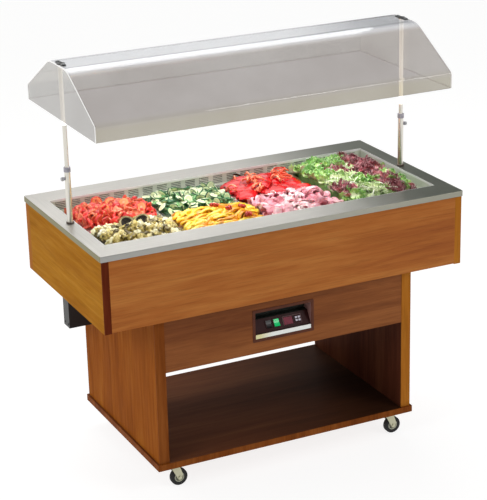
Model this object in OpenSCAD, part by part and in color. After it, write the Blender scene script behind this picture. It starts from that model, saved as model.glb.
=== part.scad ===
// Mobile refrigerated salad bar: a steel-rimmed cold well clad in wood, on an open
// pedestal with four casters, under a height-adjustable clear canopy on two posts.
// Millimetres. Origin on the floor under the middle, +X right, +Y back, +Z up.

/* [Pans] */
// Width of a pan, left to right
pan_w = 325; // [300:5:340]
// Length of a full-size pan, front to back
pan_l = 530; // [500:5:560]
// Depth of the pans
pan_d = 100; // [65:5:110]
// Clear gap between neighbouring pans
pan_gap = 3; // [2:0.5:6]
// Width of a pan's flange
pan_flange = 11.5; // [9:0.5:14]
// Thickness of the pans' metal
pan_t = 2; // [1.5:0.5:3]
// Depth of the pans' flanges below the top of the rim
pan_drop = 45; // [40:1:60]

/* [Rim] */
// Width of the rim's ledges at the two ends
ledge_end = 63; // [55:1:90]
// Width of the rim's long ledges, front and back
ledge_side = 112; // [100:1:150]
// Gap between the end pans and the well's end walls
well_end_gap = 31; // [20:1:60]
// Gap between the pans' ends and the well's long walls
well_side_gap = 23; // [16:1:40]
// Height of the rim's turned-down outer edge
rim_edge = 22; // [18:1:30]
// Height of the rim's turned-down inner edge
rim_lip = 8; // [6:1:12]
// Thickness of the rim's metal
rim_t = 3; // [2:0.5:4]
// Radius of the fold along the rim's outer edge
rim_fold = 4; // [4:0.5:6]
// Width and depth of the joint lines at the rim's mitred corners
mitre = 0.5; // [0.3:0.1:0.8]

/* [Tank] */
// Height from the bottom of the tank's end panels to the top of the rim
tank_h = 298; // [285:1:360]
// Distance of the cladding behind the rim's outer edge
clad_inset = 5; // [4:0.5:15]
// Thickness of the tank's front and rear panels
clad_t = 18; // [12:1:22]
// Thickness of the tank's end panels
end_t = 28; // [18:1:34]
// Distance by which the end panels reach below the front panel
end_drop = 3; // [1:1:8]
// Width of the light lipping at the rear of the end panels
rear_lip_w = 38; // [20:1:60]
// Thickness of the bands along the panels' front edges
band_t = 3; // [2:0.5:5]
// Thickness of the tank's floor
tank_floor_t = 18; // [12:1:22]
// Thickness of the insulation under the liner
foam_floor_t = 42; // [30:1:50]
// Thickness of the liner's metal
liner_t = 2; // [1:0.5:3]
// Width of the air channel behind each louvre
plenum = 24; // [16:1:30]

/* [Louvres] */
// Slots one above the other in a group
slot_rows = 5; // [3:1:6]
// Length of a slot
slot_l = 43; // [30:1:50]
// Height of a slot
slot_h = 3.2; // [2:0.2:4]
// Distance from one slot to the next above
slot_pitch_z = 6.8; // [6:0.2:9]
// Distance from one group of slots to the next
slot_pitch_x = 61; // [55:1:80]

/* [Pedestal] */
// Length of the pedestal over its side panels
ped_l = 1084; // [950:1:1200]
// Depth of the pedestal over its edge bands
ped_w = 720; // [600:1:760]
// Height of the pedestal above the base board
ped_h = 578; // [480:1:640]
// Thickness of the pedestal's side panels
ped_t = 40; // [25:1:50]
// Height of the fascias that close the machine bay
fascia_h = 214; // [200:1:230]
// Thickness of the fascias
fascia_t = 18; // [12:1:22]
// Distance of the fascias behind the pedestal's edges
fascia_inset = 2; // [0:0.5:10]
// Thickness of the storage bay's ceiling
ceiling_t = 18; // [12:1:22]
// Thickness of the base board
board_t = 25; // [22:1:40]
// Overhang of the base board all round
board_over = 8; // [5:1:20]
// Depth of the housings in the base board that take the side panels
housing = 6; // [4:1:12]

/* [Casters] */
// Height of a caster from the floor to the board
caster_h = 96; // [94:1:110]
// Diameter of a wheel
wheel_d = 68; // [56:1:72]
// Width of a wheel
wheel_w = 22; // [18:1:26]
// Distance of the axle behind the swivel's axis
trail = 17; // [14:1:24]
// Distance of the swivels from the base board's ends
caster_in_x = 82.5; // [60:0.5:120]
// Distance of the swivels from the base board's long edges
caster_in_y = 50; // [45:1:90]

/* [Posts] */
// Outer diameter of the lower tubes
post_d = 22; // [20:0.5:28]
// Outer diameter of the upper tubes
rod_d = 16; // [12:0.5:17]
// Height of the lower tubes above the rim
post_h = 214; // [190:1:260]
// Height of the clamp knobs above the rim
knob_up = 173; // [140:1:180]
// Diameter of the clamp knobs
knob_d = 15; // [12:0.5:20]
// Clear distance of the upper tubes' lower ends above the rim
rod_clear = 100; // [96:1:130]

/* [Canopy] */
// Distance of the canopy's ends inside the rim's ends
canopy_in = 28; // [20:1:60]
// Depth of the canopy, front to back
canopy_w = 694; // [560:1:780]
// Height of the canopy's lower edge above the rim
canopy_lip_up = 396; // [330:1:460]
// Height of the canopy's upright lips
canopy_lip = 60; // [30:1:90]
// Height of the canopy's top above the rim
canopy_top_up = 602; // [560:1:680]
// Width between the lines where the slopes would meet the top
canopy_top_w = 184; // [140:2:240]
// Radius of the bends beside the top
canopy_r = 130; // [60:5:150]
// Radius of the bends above the lips
knee_r = 18; // [12:1:30]
// Thickness of the clear sheet
sheet_t = 5; // [3:0.5:6]
// Thickness of the brackets on the canopy's top
bracket_t = 4; // [3:0.5:6]

/* [Controls] */
// Width of the control recess
ctl_w = 240; // [236:1:300]
// Height of the control recess
ctl_h = 110; // [104:1:120]
// Distance of the recess's centre to the right of the middle
ctl_x = -14; // [-200:1:200]
// Distance of the recess's top below the tank
ctl_down = 49; // [40:1:60]
// Depth of the recess
ctl_deep = 60; // [56:1:80]
// Height of the blank strip along the foot of the recess
strip_h = 19; // [12:1:20]
// Tilt of the control plate away from upright
ctl_tilt = 30; // [20:1:32]
// Height of the control plate along its slope
plate_l = 54; // [50:1:64]
// Width of the bezel round the recess
bezel_w = 9; // [6:0.5:14]
// Thickness of the bezel
bezel_t = 1.5; // [1:0.1:2]

/* [Service box] */
// Reach of the service box to the left of the pedestal
box_l = 116; // [80:1:150]
// Depth of the service box, front to back
box_w = 60; // [50:1:90]
// Distance of the service box's centre behind the middle
box_y = 250; // [200:1:290]

/* [Hidden] */

$fn = 48;
eps = 0.5;           // overrun of a cut past the face it leaves
gap = 0.3;           // clearance between bodies that move past each other
running = 0.06;      // radial clearance of a shaft in its bore

// Levels, from the floor up
board_top = caster_h + board_t;
tank_z = board_top + ped_h;
rim_z = tank_z + tank_h;
rim_under = rim_z - rim_t;
pan_z = rim_z - pan_drop;
ledge_z = pan_z - pan_t;
fascia_z = tank_z - fascia_h;
machine_z = fascia_z + ceiling_t;
foam_z = tank_z + tank_floor_t;
liner_z = foam_z + foam_floor_t + liner_t;

// Well, rim and tank, seen from above
columns = 4;
pitch = pan_w + pan_gap;
well_l = columns * pitch + 2 * well_end_gap;
well_w = pan_l + 2 * well_side_gap;
rim_l = well_l + 2 * ledge_end;
rim_w = well_w + 2 * ledge_side;
liner_w = well_w + 2 * plenum;
tank_l = rim_l - 2 * clad_inset;
tank_w = rim_w - 2 * clad_inset;
core_l = tank_l - 2 * end_t;
core_w = tank_w - 2 * clad_t;
half_l = (pan_l - pan_gap) / 2;

// Pedestal and base
bay_l = ped_l - 2 * ped_t;
fascia_y = ped_w / 2 - fascia_inset;
board_l = ped_l + 2 * board_over;
board_w = ped_w + 2 * board_over;
board_in_l = board_l - 2 * band_t;
board_in_w = board_w - 2 * band_t;
caster_x = board_l / 2 - caster_in_x;
caster_y = board_w / 2 - caster_in_y;

// Posts and canopy
canopy_l = rim_l - 2 * canopy_in;
post_x = canopy_l / 2 - sheet_t - rod_d / 2 - 1;
rod_z = rim_z + rod_clear;
canopy_z = rim_z + canopy_top_up;
lip_z = rim_z + canopy_lip_up;
knee_z = lip_z + canopy_lip;
slope = atan((canopy_z - knee_z) / (canopy_w / 2 - canopy_top_w / 2));
knob_z = rim_z + knob_up;
collar_d = post_d + 4;
collar_h = 17;
boss_d = 11;
boss_l = 4;
clamp_r = 2.5;
bracket_l = 80;
bracket_w = 30;
bracket_screw = 29;

// Control panel: local x to the right, y up the plate, z out of the plate
ctl_z = tank_z - ctl_down - ctl_h;
wall = 2;
plate_t = 2;
plate_mid_z = ctl_z + wall + strip_h + plate_l / 2 * cos(ctl_tilt);
plate_mid_y = -fascia_y + 5 + plate_l / 2 * sin(ctl_tilt);
rocker_w = 22;
rocker_l = 28;
rocker_x = [-53, -20];
rocker_tilt = 8;
display_x = 29;
display_w = 38;
display_h = 27;
thermostat_x = 45;
thermostat_w = 78;
thermostat_h = 35;
button_x = 69;
button_w = 9;
button_h = 7;
button_step_x = 12.5;
button_step_y = 11;
button_travel = 1.2;
board_back = 16;

// Machinery
comp_x = -bay_l / 2 + 202;
comp_y = 120;
comp_d = 150;
comp_h = 140;
comp_feet_h = 11;
cond_x = bay_l / 2 - 252;
cond_l = 280;
cond_h = 150;
cond_d = 60;
fin_t = 1;
fins = 22;
fan_x = cond_x;
fan_z = machine_z + cond_h / 2 + 6;
fan_r = 68;
fan_bore = 4;
cond_y = fascia_y - fascia_t - 12 - cond_d;
evap_l = 520;
evap_w = 110;
evap_h = 56;
evap_y = 120;
evap_z = liner_z + 4;
evap_fan_r = 34;
evap_fan_z = liner_z + evap_fan_r + 6;
baffle_y = evap_y - evap_w / 2 - 30;
evap_rows = 2;
cond_rows = 4;
coil_stub = 6;       // reach of the coils' tubes past their end plates
coil_tube_y = 0.28;  // place of a coil's front tubes as a share of its depth
pipe_x = -evap_l / 2 - 30;
pipe_y = evap_y - evap_w / 2 + evap_w * coil_tube_y;
comp_top = machine_z + comp_feet_h + comp_h;
pipe_hole = 24;
drain_x = -ped_l / 2 - box_l / 2;
drain_d = 20;
gland_r = 4.5;
gland_l = 14;
gland_up = 40;

// ---- Helpers --------------------------------------------------------------

// Box between two heights, centred in x and y
module slab(l, w, z0, z1) {
    translate([-l / 2, -w / 2, z0]) cube([l, w, z1 - z0]);
}

// Box between two corners
module bar(a, b) {
    translate(a) cube(b - a);
}

// Rectangle with round corners, centred
module round_rect(l, w, r) {
    square([l - 2 * r, w], center = true);
    square([l, w - 2 * r], center = true);
    for (x = [-1, 1], y = [-1, 1])
        translate([x * (l / 2 - r), y * (w / 2 - r)]) circle(r);
}

module both_x() {
    for (s = [0, 1]) mirror([s, 0, 0]) children();
}

module both_y() {
    for (s = [0, 1]) mirror([0, s, 0]) children();
}

// Rod of radius r from the origin along +X
module rod_x(r, l) {
    rotate([0, 90, 0]) cylinder(r = r, h = l);
}

// Rod of radius r from the origin along +Y
module rod_y(r, l) {
    rotate([-90, 0, 0]) cylinder(r = r, h = l);
}

// Quarter bend of a pipe, from upwards at the origin round to +X
module elbow(r, bend) {
    translate([bend, 0, 0]) rotate([90, 0, 0]) rotate([0, 0, 90])
        rotate_extrude(angle = 90) translate([bend, 0]) circle(r);
}

// ---- Rim, well and pans ---------------------------------------------------

rim_corner = rim_fold + 4;

// Section of the rim's outer edge: x out from the corner's centre, y up
module rim_edge_section() {
    translate([rim_corner - rim_t, -rim_edge]) square([rim_t, rim_edge - rim_fold]);
    translate([rim_corner - rim_fold, -rim_fold]) intersection() {
        difference() {
            circle(rim_fold);
            circle(rim_fold - rim_t);
        }
        square(rim_fold);
    }
    translate([0, -rim_t]) square([rim_corner - rim_fold, rim_t]);
}

module rim_side(length, out) {
    translate([-length / 2, -out + rim_corner, rim_z]) rotate([90, 0, 90])
        linear_extrude(length) mirror([1, 0]) rim_edge_section();
}

// Shallow lines from the well's corners to the rim's corners
module mitre_lines() {
    both_x() both_y()
        translate([well_l / 2, well_w / 2, rim_z - mitre]) rotate([0, 0, atan2(ledge_side, ledge_end)])
            translate([-mitre, -mitre / 2, 0]) cube([norm([ledge_side, ledge_end]), mitre, 2 * mitre]);
}

module rim_frame() {
    color([0.74, 0.75, 0.75]) difference() {
        union() {
            both_y() rim_side(rim_l - 2 * rim_corner, rim_w / 2);
            for (a = [90, 270])
                rotate([0, 0, a]) rim_side(rim_w - 2 * rim_corner, rim_l / 2);
            both_x() both_y()
                translate([rim_l / 2 - rim_corner, rim_w / 2 - rim_corner, rim_z])
                    rotate_extrude(angle = 90) rim_edge_section();
            slab(rim_l - 2 * rim_corner, rim_w - 2 * rim_corner, rim_under, rim_z);
            slab(well_l + 2 * rim_t, well_w + 2 * rim_t, rim_z - rim_lip, rim_z);
        }
        slab(well_l, well_w, rim_z - rim_lip - eps, rim_z + eps);
        mitre_lines();
    }
}

module pipe_holes(z0, z1) {
    translate([pipe_x, pipe_y, z0]) cylinder(d = pipe_hole, h = z1 - z0);
    translate([drain_x, box_y, z0]) cylinder(d = drain_d, h = z1 - z0);
}

module well_liner() {
    color([0.7, 0.71, 0.72]) difference() {
        slab(well_l + 2 * (rim_t + liner_t), liner_w + 2 * liner_t, liner_z - liner_t, rim_under);
        slab(well_l + 2 * rim_t, liner_w, liner_z, rim_z);
        pipe_holes(liner_z - liner_t - eps, liner_z + eps);
    }
}

module insulation() {
    color([0.93, 0.88, 0.7]) difference() {
        slab(core_l, core_w, foam_z, rim_under);
        slab(well_l + 2 * (rim_t + liner_t), liner_w + 2 * liner_t, liner_z - liner_t, rim_z);
        pipe_holes(foam_z - eps, liner_z);
    }
}

louvre_z = rim_z - rim_lip;
louvre_in = 9;       // reach of the ledge under the pans' flanges
tab_l = 30;

module louvre_wall() {
    wall_y = well_w / 2;
    groups = floor((well_l - 2 * rim_t) / slot_pitch_x);
    slots_z = ledge_z + (louvre_z - ledge_z - (slot_rows - 1) * slot_pitch_z) / 2;
    difference() {
        bar([-well_l / 2, wall_y, ledge_z - pan_t], [well_l / 2, wall_y + rim_t, louvre_z]);
        for (i = [0:groups - 1], k = [0:slot_rows - 1])
            translate([(i - (groups - 1) / 2) * slot_pitch_x, wall_y, slots_z + k * slot_pitch_z])
                cube([slot_l, 4 * rim_t, slot_h], center = true);
    }
    ledge_y = pan_l / 2 - louvre_in;
    bar([-well_l / 2, ledge_y, ledge_z - pan_t], [well_l / 2, wall_y, ledge_z]);
    bar([-well_l / 2, ledge_y, ledge_z - 14], [well_l / 2, ledge_y + pan_t, ledge_z - pan_t]);
    for (i = [-3:3])
        bar([i * well_l / 7 - tab_l / 2, wall_y + rim_t, ledge_z - pan_t],
            [i * well_l / 7 + tab_l / 2, liner_w / 2, ledge_z]);
}

module air_louvres() {
    color([0.78, 0.79, 0.78]) both_y() louvre_wall();
}

module pan_bars() {
    bar_w = 2 * pan_flange + pan_gap - 4;
    bar_h = 12;
    end_x = columns / 2 * pitch - pan_gap / 2 - louvre_in;
    ledge_y = pan_l / 2 - louvre_in;
    color([0.75, 0.76, 0.76]) {
        for (i = [1:columns - 1])
            translate([(i - columns / 2) * pitch, 0, 0])
                slab(bar_w, 2 * ledge_y, ledge_z - bar_h, ledge_z);
        for (i = [0:columns - 2]) {
            x0 = i == 0 ? -end_x : (i - columns / 2) * pitch + bar_w / 2;
            x1 = (i + 1 - columns / 2) * pitch - bar_w / 2;
            bar([x0 + gap, -bar_w / 2, ledge_z - bar_h], [x1 - gap, bar_w / 2, ledge_z]);
        }
        both_x() {
            bar([end_x, -ledge_y, ledge_z - bar_h], [end_x + pan_t, ledge_y, ledge_z]);
            bar([end_x, -ledge_y, ledge_z - pan_t], [well_l / 2, ledge_y, ledge_z]);
            bar([well_l / 2, -well_w / 2, ledge_z - pan_t], [well_l / 2 + rim_t, well_w / 2, louvre_z]);
        }
    }
}

// One layer of a pan's tapering shell
module pan_layer(l, w, r, z) {
    translate([0, 0, z]) linear_extrude(0.1) round_rect(l, w, r);
}

// Tapering solid with a rounded foot, from its top at z = 0 down to -d
module pan_form(l, w, d, r) {
    taper = d * 0.09;
    foot = 12;
    hull($fn = 32) {
        pan_layer(l, w, r, -0.1);
        pan_layer(l - 2 * taper, w - 2 * taper, r, foot - d);
        pan_layer(l - 2 * taper - foot, w - 2 * taper - foot, r - foot / 2, 0.3 * foot - d);
        pan_layer(l - 2 * taper - 2 * foot, w - 2 * taper - 2 * foot, r - foot / 2 - 4, -d);
    }
}

// Pan with its flange's top at pan_z; w is its size in x and l in y
module pan(w, l, x, y) {
    open_w = w - 2 * pan_flange;
    open_l = l - 2 * pan_flange;
    color([0.8, 0.81, 0.81]) translate([x, y, pan_z]) difference() {
        union() {
            translate([0, 0, -pan_t]) linear_extrude(pan_t) round_rect(w, l, 11);
            translate([0, 0, -pan_t]) pan_form(open_w, open_l, pan_d - pan_t, 26);
        }
        translate([0, 0, 0.1])
            pan_form(open_w - 2 * pan_t, open_l - 2 * pan_t, pan_d - pan_t + 0.1, 24);
    }
}

function pan_x(column) = (column - (columns + 1) / 2) * pitch;
half_y = (half_l + pan_gap) / 2;

module pan_1_rear() { pan(pan_w, half_l, pan_x(1), half_y); }
module pan_1_front() { pan(pan_w, half_l, pan_x(1), -half_y); }
module pan_2_rear() { pan(pan_w, half_l, pan_x(2), half_y); }
module pan_2_front() { pan(pan_w, half_l, pan_x(2), -half_y); }
module pan_3_rear() { pan(pan_w, half_l, pan_x(3), half_y); }
module pan_3_front() { pan(pan_w, half_l, pan_x(3), -half_y); }
module pan_4() { pan(pan_w, pan_l, pan_x(4), 0); }

// ---- Tank cladding --------------------------------------------------------

module long_panel() {
    bar([-core_l / 2, core_w / 2, tank_z + end_drop], [core_l / 2, tank_w / 2, rim_under]);
}

module tank_panel_front() { color([0.66, 0.4, 0.2]) mirror([0, 1, 0]) long_panel(); }
module tank_panel_rear() { color([0.66, 0.4, 0.2]) long_panel(); }

module end_panel() {
    bar([core_l / 2, band_t - tank_w / 2, tank_z], [tank_l / 2, tank_w / 2 - rear_lip_w, rim_under]);
}

module tank_panel_left() { color([0.67, 0.46, 0.2]) mirror([1, 0, 0]) end_panel(); }
module tank_panel_right() { color([0.67, 0.46, 0.2]) end_panel(); }

module edge_strips() {
    color([0.5, 0.28, 0.17]) both_x() {
        bar([core_l / 2, -tank_w / 2, tank_z], [tank_l / 2, band_t - tank_w / 2, rim_under]);
        bar([core_l / 2, tank_w / 2 - rear_lip_w, tank_z], [tank_l / 2, tank_w / 2, rim_under]);
        both_y() bar([bay_l / 2, -ped_w / 2, board_top], [ped_l / 2, band_t - ped_w / 2, tank_z]);
    }
    color([0.5, 0.28, 0.17]) translate([0, 0, caster_h]) linear_extrude(board_t) difference() {
        round_rect(board_l, board_w, band_t);
        square([board_in_l, board_in_w], center = true);
    }
}

module tank_floor() {
    color([0.45, 0.3, 0.18]) difference() {
        slab(core_l, core_w, tank_z, foam_z);
        pipe_holes(tank_z - eps, foam_z + eps);
    }
}

// ---- Pedestal -------------------------------------------------------------

// Foot of a side panel, which fills its housing in the base board
module panel_foot() {
    bar([bay_l / 2, -board_in_w / 2, board_top - housing], [ped_l / 2, board_in_w / 2, board_top]);
}

module ped_panel() {
    bar([bay_l / 2, band_t - ped_w / 2, board_top], [ped_l / 2, ped_w / 2 - band_t, tank_z]);
    panel_foot();
}

module pedestal_panel_left() { color([0.55, 0.31, 0.13]) mirror([1, 0, 0]) ped_panel(); }
module pedestal_panel_right() { color([0.55, 0.31, 0.13]) ped_panel(); }

module fascia_front() {
    color([0.5, 0.31, 0.16]) difference() {
        bar([-bay_l / 2, -fascia_y, fascia_z], [bay_l / 2, fascia_t - fascia_y, tank_z]);
        bar([ctl_x - ctl_w / 2, -fascia_y - eps, ctl_z],
            [ctl_x + ctl_w / 2, fascia_t - fascia_y + eps, ctl_z + ctl_h]);
    }
}

vent_rows = 9;
vent_l = 120;
vent_h = 6;
vent_pitch = 13;
vent_up = 30;
vent_apart = vent_l + 16;

module fascia_rear() {
    vent_z = machine_z + vent_up;
    color([0.5, 0.31, 0.16]) difference() {
        bar([-bay_l / 2, fascia_y - fascia_t, fascia_z], [bay_l / 2, fascia_y, tank_z]);
        for (x = [cond_x, comp_x], side = [-0.5, 0.5], k = [0:vent_rows - 1])
            translate([x + side * vent_apart, fascia_y - fascia_t / 2, vent_z + k * vent_pitch]) rotate([90, 0, 0])
                linear_extrude(fascia_t + 2 * eps, center = true) round_rect(vent_l, vent_h, vent_h / 2 - 0.01);
    }
}

module bay_ceiling() {
    color([0.42, 0.27, 0.15])
        slab(bay_l, 2 * (fascia_y - fascia_t), fascia_z, machine_z);
}

module base_board() {
    color([0.42, 0.24, 0.14]) difference() {
        slab(board_in_l, board_in_w, caster_h, board_top);
        both_x() panel_foot();
    }
}

// Cable gland on the service box's rear wall, pointing to the back
module at_gland() {
    translate([drain_x, box_y + box_w / 2, fascia_z + gland_up]) rotate([-90, 0, 0]) children();
}

module service_box() {
    x1 = -ped_l / 2;
    x0 = x1 - box_l;
    color([0.06, 0.06, 0.06]) {
        difference() {
            bar([x0 + wall, box_y - box_w / 2, fascia_z], [x1, box_y + box_w / 2, tank_z]);
            bar([x0, box_y - box_w / 2 + wall, fascia_z + wall],
                [x1 - wall, box_y + box_w / 2 - wall, tank_z - wall]);
            translate([drain_x, box_y, tank_z - 2 * wall]) cylinder(d = drain_d, h = 3 * wall);
            at_gland() translate([0, 0, eps - 2 * wall]) cylinder(r = gland_r, h = 2 * wall);
        }
        bar([x0, box_y - box_w / 2, fascia_z], [x0 + wall, box_y + box_w / 2, tank_z]);
        for (y = [-1, 1], z = [fascia_z + 14, tank_z - 14])
            translate([x0 - 2, box_y + y * (box_w / 2 - 12), z]) rod_x(4, 2);
        at_gland() difference() {
            union() {
                cylinder(r = gland_r + 3, h = gland_l);
                cylinder(r = gland_r + 6, h = 5, $fn = 6);
            }
            translate([0, 0, -eps]) cylinder(r = gland_r, h = gland_l + 2 * eps);
        }
    }
}

// ---- Controls -------------------------------------------------------------

module on_plate(x = 0, y = 0, z = 0) {
    translate([ctl_x, plate_mid_y, plate_mid_z]) rotate([90 - ctl_tilt, 0, 0])
        translate([x, y, z]) children();
}

// Recessed box with a bezel, a strip along its foot and a shelf behind the plate's top edge
module control_housing() {
    shelf_y = plate_mid_y + plate_l / 2 * sin(ctl_tilt) + plate_t / 2 * cos(ctl_tilt);
    shelf_z = plate_mid_z + plate_l / 2 * cos(ctl_tilt) - plate_t / 2 * sin(ctl_tilt);
    x0 = ctl_x - ctl_w / 2;
    x1 = ctl_x + ctl_w / 2;
    y0 = -fascia_y;
    y1 = y0 + ctl_deep;
    z1 = ctl_z + ctl_h;
    color([0.13, 0.13, 0.12]) {
        difference() {
            bar([x0, y0, ctl_z], [x1, y1, z1]);
            bar([x0 + wall, y0 - eps, ctl_z + wall], [x1 - wall, y1 - wall, z1 - wall]);
        }
        bar([x0 + wall, y0, ctl_z + wall], [x1 - wall, y0 + wall, ctl_z + wall + strip_h]);
        bar([x0 + wall, shelf_y, shelf_z - wall], [x1 - wall, y1 - wall, shelf_z]);
        translate([ctl_x, y0, ctl_z + ctl_h / 2]) rotate([90, 0, 0]) linear_extrude(bezel_t) difference() {
            round_rect(ctl_w + 2 * bezel_w, ctl_h + 2 * bezel_w, 4);
            square([ctl_w - 2 * wall, ctl_h - 2 * wall], center = true);
        }
    }
}

switch_w = rocker_w + 4;
switch_l = rocker_l + 6;
switch_deep = 12;

// Fixed case of a rocker switch, open at the front and bored for the rocker's pins
module switch_case() {
    difference() {
        union() {
            translate([0, 0, 1]) linear_extrude(2) round_rect(switch_w + 4, switch_l + 4, 2);
            translate([0, 0, (1 - switch_deep) / 2])
                cube([switch_w, switch_l, switch_deep + 1], center = true);
        }
        translate([0, 0, (6 - switch_deep) / 2 + 0.5])
            cube([rocker_w + 2 * gap, rocker_l + 2.6, switch_deep + 5], center = true);
        translate([-rocker_w / 2 - 1.3, 0, -4]) rod_x(2 + running, rocker_w + 2.6);
    }
}

module key_holes() {
    for (i = [-1, 1], k = [-1, 1])
        translate([button_x + i * button_step_x / 2, k * button_step_y / 2, 0])
            cube([button_w + 2 * gap, button_h + 2 * gap, 8], center = true);
}

module control_plate() {
    color([0.25, 0.09, 0.08]) on_plate() {
        difference() {
            translate([0, 0, -plate_t / 2 + 1])
                cube([ctl_w - 2 * wall, plate_l, plate_t], center = true);
            for (x = rocker_x)
                translate([x, 0, 0]) cube([switch_w, switch_l, 8], center = true);
            translate([display_x, 0, 0]) cube([display_w, display_h, 8], center = true);
            key_holes();
        }
        for (x = rocker_x) translate([x, 0, 0]) switch_case();
    }
}

// Thermostat: one frame round the display window and the four keys
module display() {
    color([0.25, 0.02, 0.04]) on_plate() {
        translate([display_x, 0, -3]) cube([display_w, display_h, 9], center = true);
        difference() {
            translate([thermostat_x, 0, 1]) linear_extrude(2) round_rect(thermostat_w, thermostat_h, 2);
            translate([display_x, 0, 0]) cube([display_w, display_h, 10], center = true);
            key_holes();
        }
    }
}

module control_board() {
    board_l2 = 84;
    board_h2 = 40;
    x = (display_x + button_x) / 2;
    color([0.1, 0.3, 0.15]) on_plate() {
        translate([x - board_l2 / 2 + 6, -board_h2 / 2, -board_back])
            cube([board_l2, board_h2, 1.6]);
        translate([display_x, 0, -(board_back - 1.6 + 7.5) / 2])
            cube([20, 16, board_back - 1.6 - 7.5], center = true);
        for (i = [-1, 1], k = [-1, 1])
            translate([button_x + i * button_step_x / 2, k * button_step_y / 2, -board_back + 1.6])
                cylinder(d = 6, h = board_back - 1.6 - 2.6 - button_travel);
    }
}

// Rocker with a dished face and two pins, its front edge pressed in at rest
module rocker(x) {
    on_plate(x, 0, -4) rotate([-rocker_tilt, 0, 0]) {
        rotate([90, 0, 90]) linear_extrude(rocker_w, center = true)
            polygon([[-14, 2], [-14, 8], [-7, 6.6], [0, 6], [7, 6.6], [14, 8], [14, 2], [5, -4], [-5, -4]]);
        translate([-rocker_w / 2 - 1.2, 0, 0]) rod_x(2, rocker_w + 2.4);
    }
}

module rocker_black() { color([0.04, 0.04, 0.05]) rocker(rocker_x[0]); }
module rocker_green() { color([0.05, 0.7, 0.35]) rocker(rocker_x[1]); }

module button(i, k) {
    color([0.85, 0.84, 0.88])
        on_plate(button_x + i * button_step_x / 2, k * button_step_y / 2, -2.5)
            linear_extrude(6.5) round_rect(button_w, button_h, 1.5);
}

module button_1() { button(-1, 1); }
module button_2() { button(1, 1); }
module button_3() { button(-1, -1); }
module button_4() { button(1, -1); }

// ---- Machinery ------------------------------------------------------------

module compressor() {
    feet = 60;
    base_t = 3;
    foot_h = comp_feet_h - base_t;
    dome = 28;
    round = 12;
    plate_over = 17;
    lid = [20, 50, 55];
    lid_z = 50;
    color([0.1, 0.1, 0.11]) translate([comp_x, comp_y, machine_z]) {
        for (x = [-1, 1], y = [-1, 1])
            translate([x * feet, y * feet, 0]) cylinder(r = 9, h = foot_h);
        translate([0, 0, foot_h]) linear_extrude(base_t) round_rect(2 * (feet + plate_over), 2 * (feet + plate_over), round);
        translate([0, 0, comp_feet_h]) rotate_extrude() {
            square([comp_d / 2 - round, comp_h - dome]);
            translate([0, round]) square([comp_d / 2, comp_h - dome - round]);
            translate([comp_d / 2 - round, round]) circle(round);
            translate([comp_d / 2 - dome, comp_h - dome]) circle(dome);
            square([comp_d / 2 - dome, comp_h]);
        }
        translate([6 - comp_d / 2 - lid[0], -lid[1] / 2, lid_z]) cube(lid);
    }
}

// Height of a coil's tube above the coil's foot
function coil_tube_z(h, rows, row) = h / rows * (row + 0.5);

// Block of flat fins on tubes along x, with two end plates
module finned_coil(l, w, h, count, tube_rows) {
    step = (l - 4) / (count + 1);
    for (i = [1:count])
        translate([-l / 2 + 2 + i * step - fin_t / 2, 0, 0]) cube([fin_t, w, h]);
    for (x = [-l / 2, l / 2 - 2])
        translate([x, 0, 0]) cube([2, w, h]);
    for (y = [w * coil_tube_y, w * (1 - coil_tube_y)], k = [0:tube_rows - 1])
        translate([-l / 2 - coil_stub, y, coil_tube_z(h, tube_rows, k)]) rod_x(4.5, l + 2 * coil_stub);
}

module condenser() {
    color([0.6, 0.45, 0.3]) translate([cond_x, cond_y, machine_z])
        finned_coil(cond_l, cond_d, cond_h, fins, cond_rows);
}

shroud_deep = 34;
motor_r = 24;
motor_l = 45;

module fan_shroud() {
    y1 = cond_y;
    y0 = y1 - shroud_deep;
    color([0.35, 0.36, 0.37]) {
        difference() {
            bar([cond_x - cond_l / 2, y0, machine_z], [cond_x + cond_l / 2, y1, machine_z + cond_h]);
            bar([cond_x - cond_l / 2 + wall, y0 + wall, machine_z + wall],
                [cond_x + cond_l / 2 - wall, y1 + eps, machine_z + cond_h - wall]);
            translate([fan_x, y0 - eps, fan_z]) rod_y(fan_r + 3, 2 * wall);
        }
        translate([fan_x, y0 - 12 - motor_l, fan_z]) {
            rod_y(motor_r, motor_l);
            rod_y(fan_bore, motor_l + 30);
        }
        bar([fan_x - 12, y0 - 50, machine_z], [fan_x + 12, y0 - 25, fan_z - motor_r + 3]);
    }
}

// Hub and blades of a fan on an axis along y, bored for its shaft
module fan(r, hub_r, bore, blades, w) {
    difference() {
        union() {
            rod_y(hub_r, w);
            for (i = [0:blades - 1])
                rotate([0, i * 360 / blades, 0])
                    translate([hub_r - 1, w / 2, 0]) rotate([32, 0, 0])
                        linear_extrude(2, center = true)
                            polygon([[0, -w * 0.35], [r - hub_r - 2, -w * 0.5],
                                     [r - hub_r, 0], [r - hub_r - 4, w * 0.5], [0, w * 0.35]]);
        }
        translate([0, -eps, 0]) rod_y(bore + running, w + 2 * eps);
    }
}

module condenser_fan() {
    color([0.15, 0.15, 0.16]) translate([fan_x, cond_y - shroud_deep - 5, fan_z])
        fan(fan_r - 2, 22, fan_bore, 5, 18);
}

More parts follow.
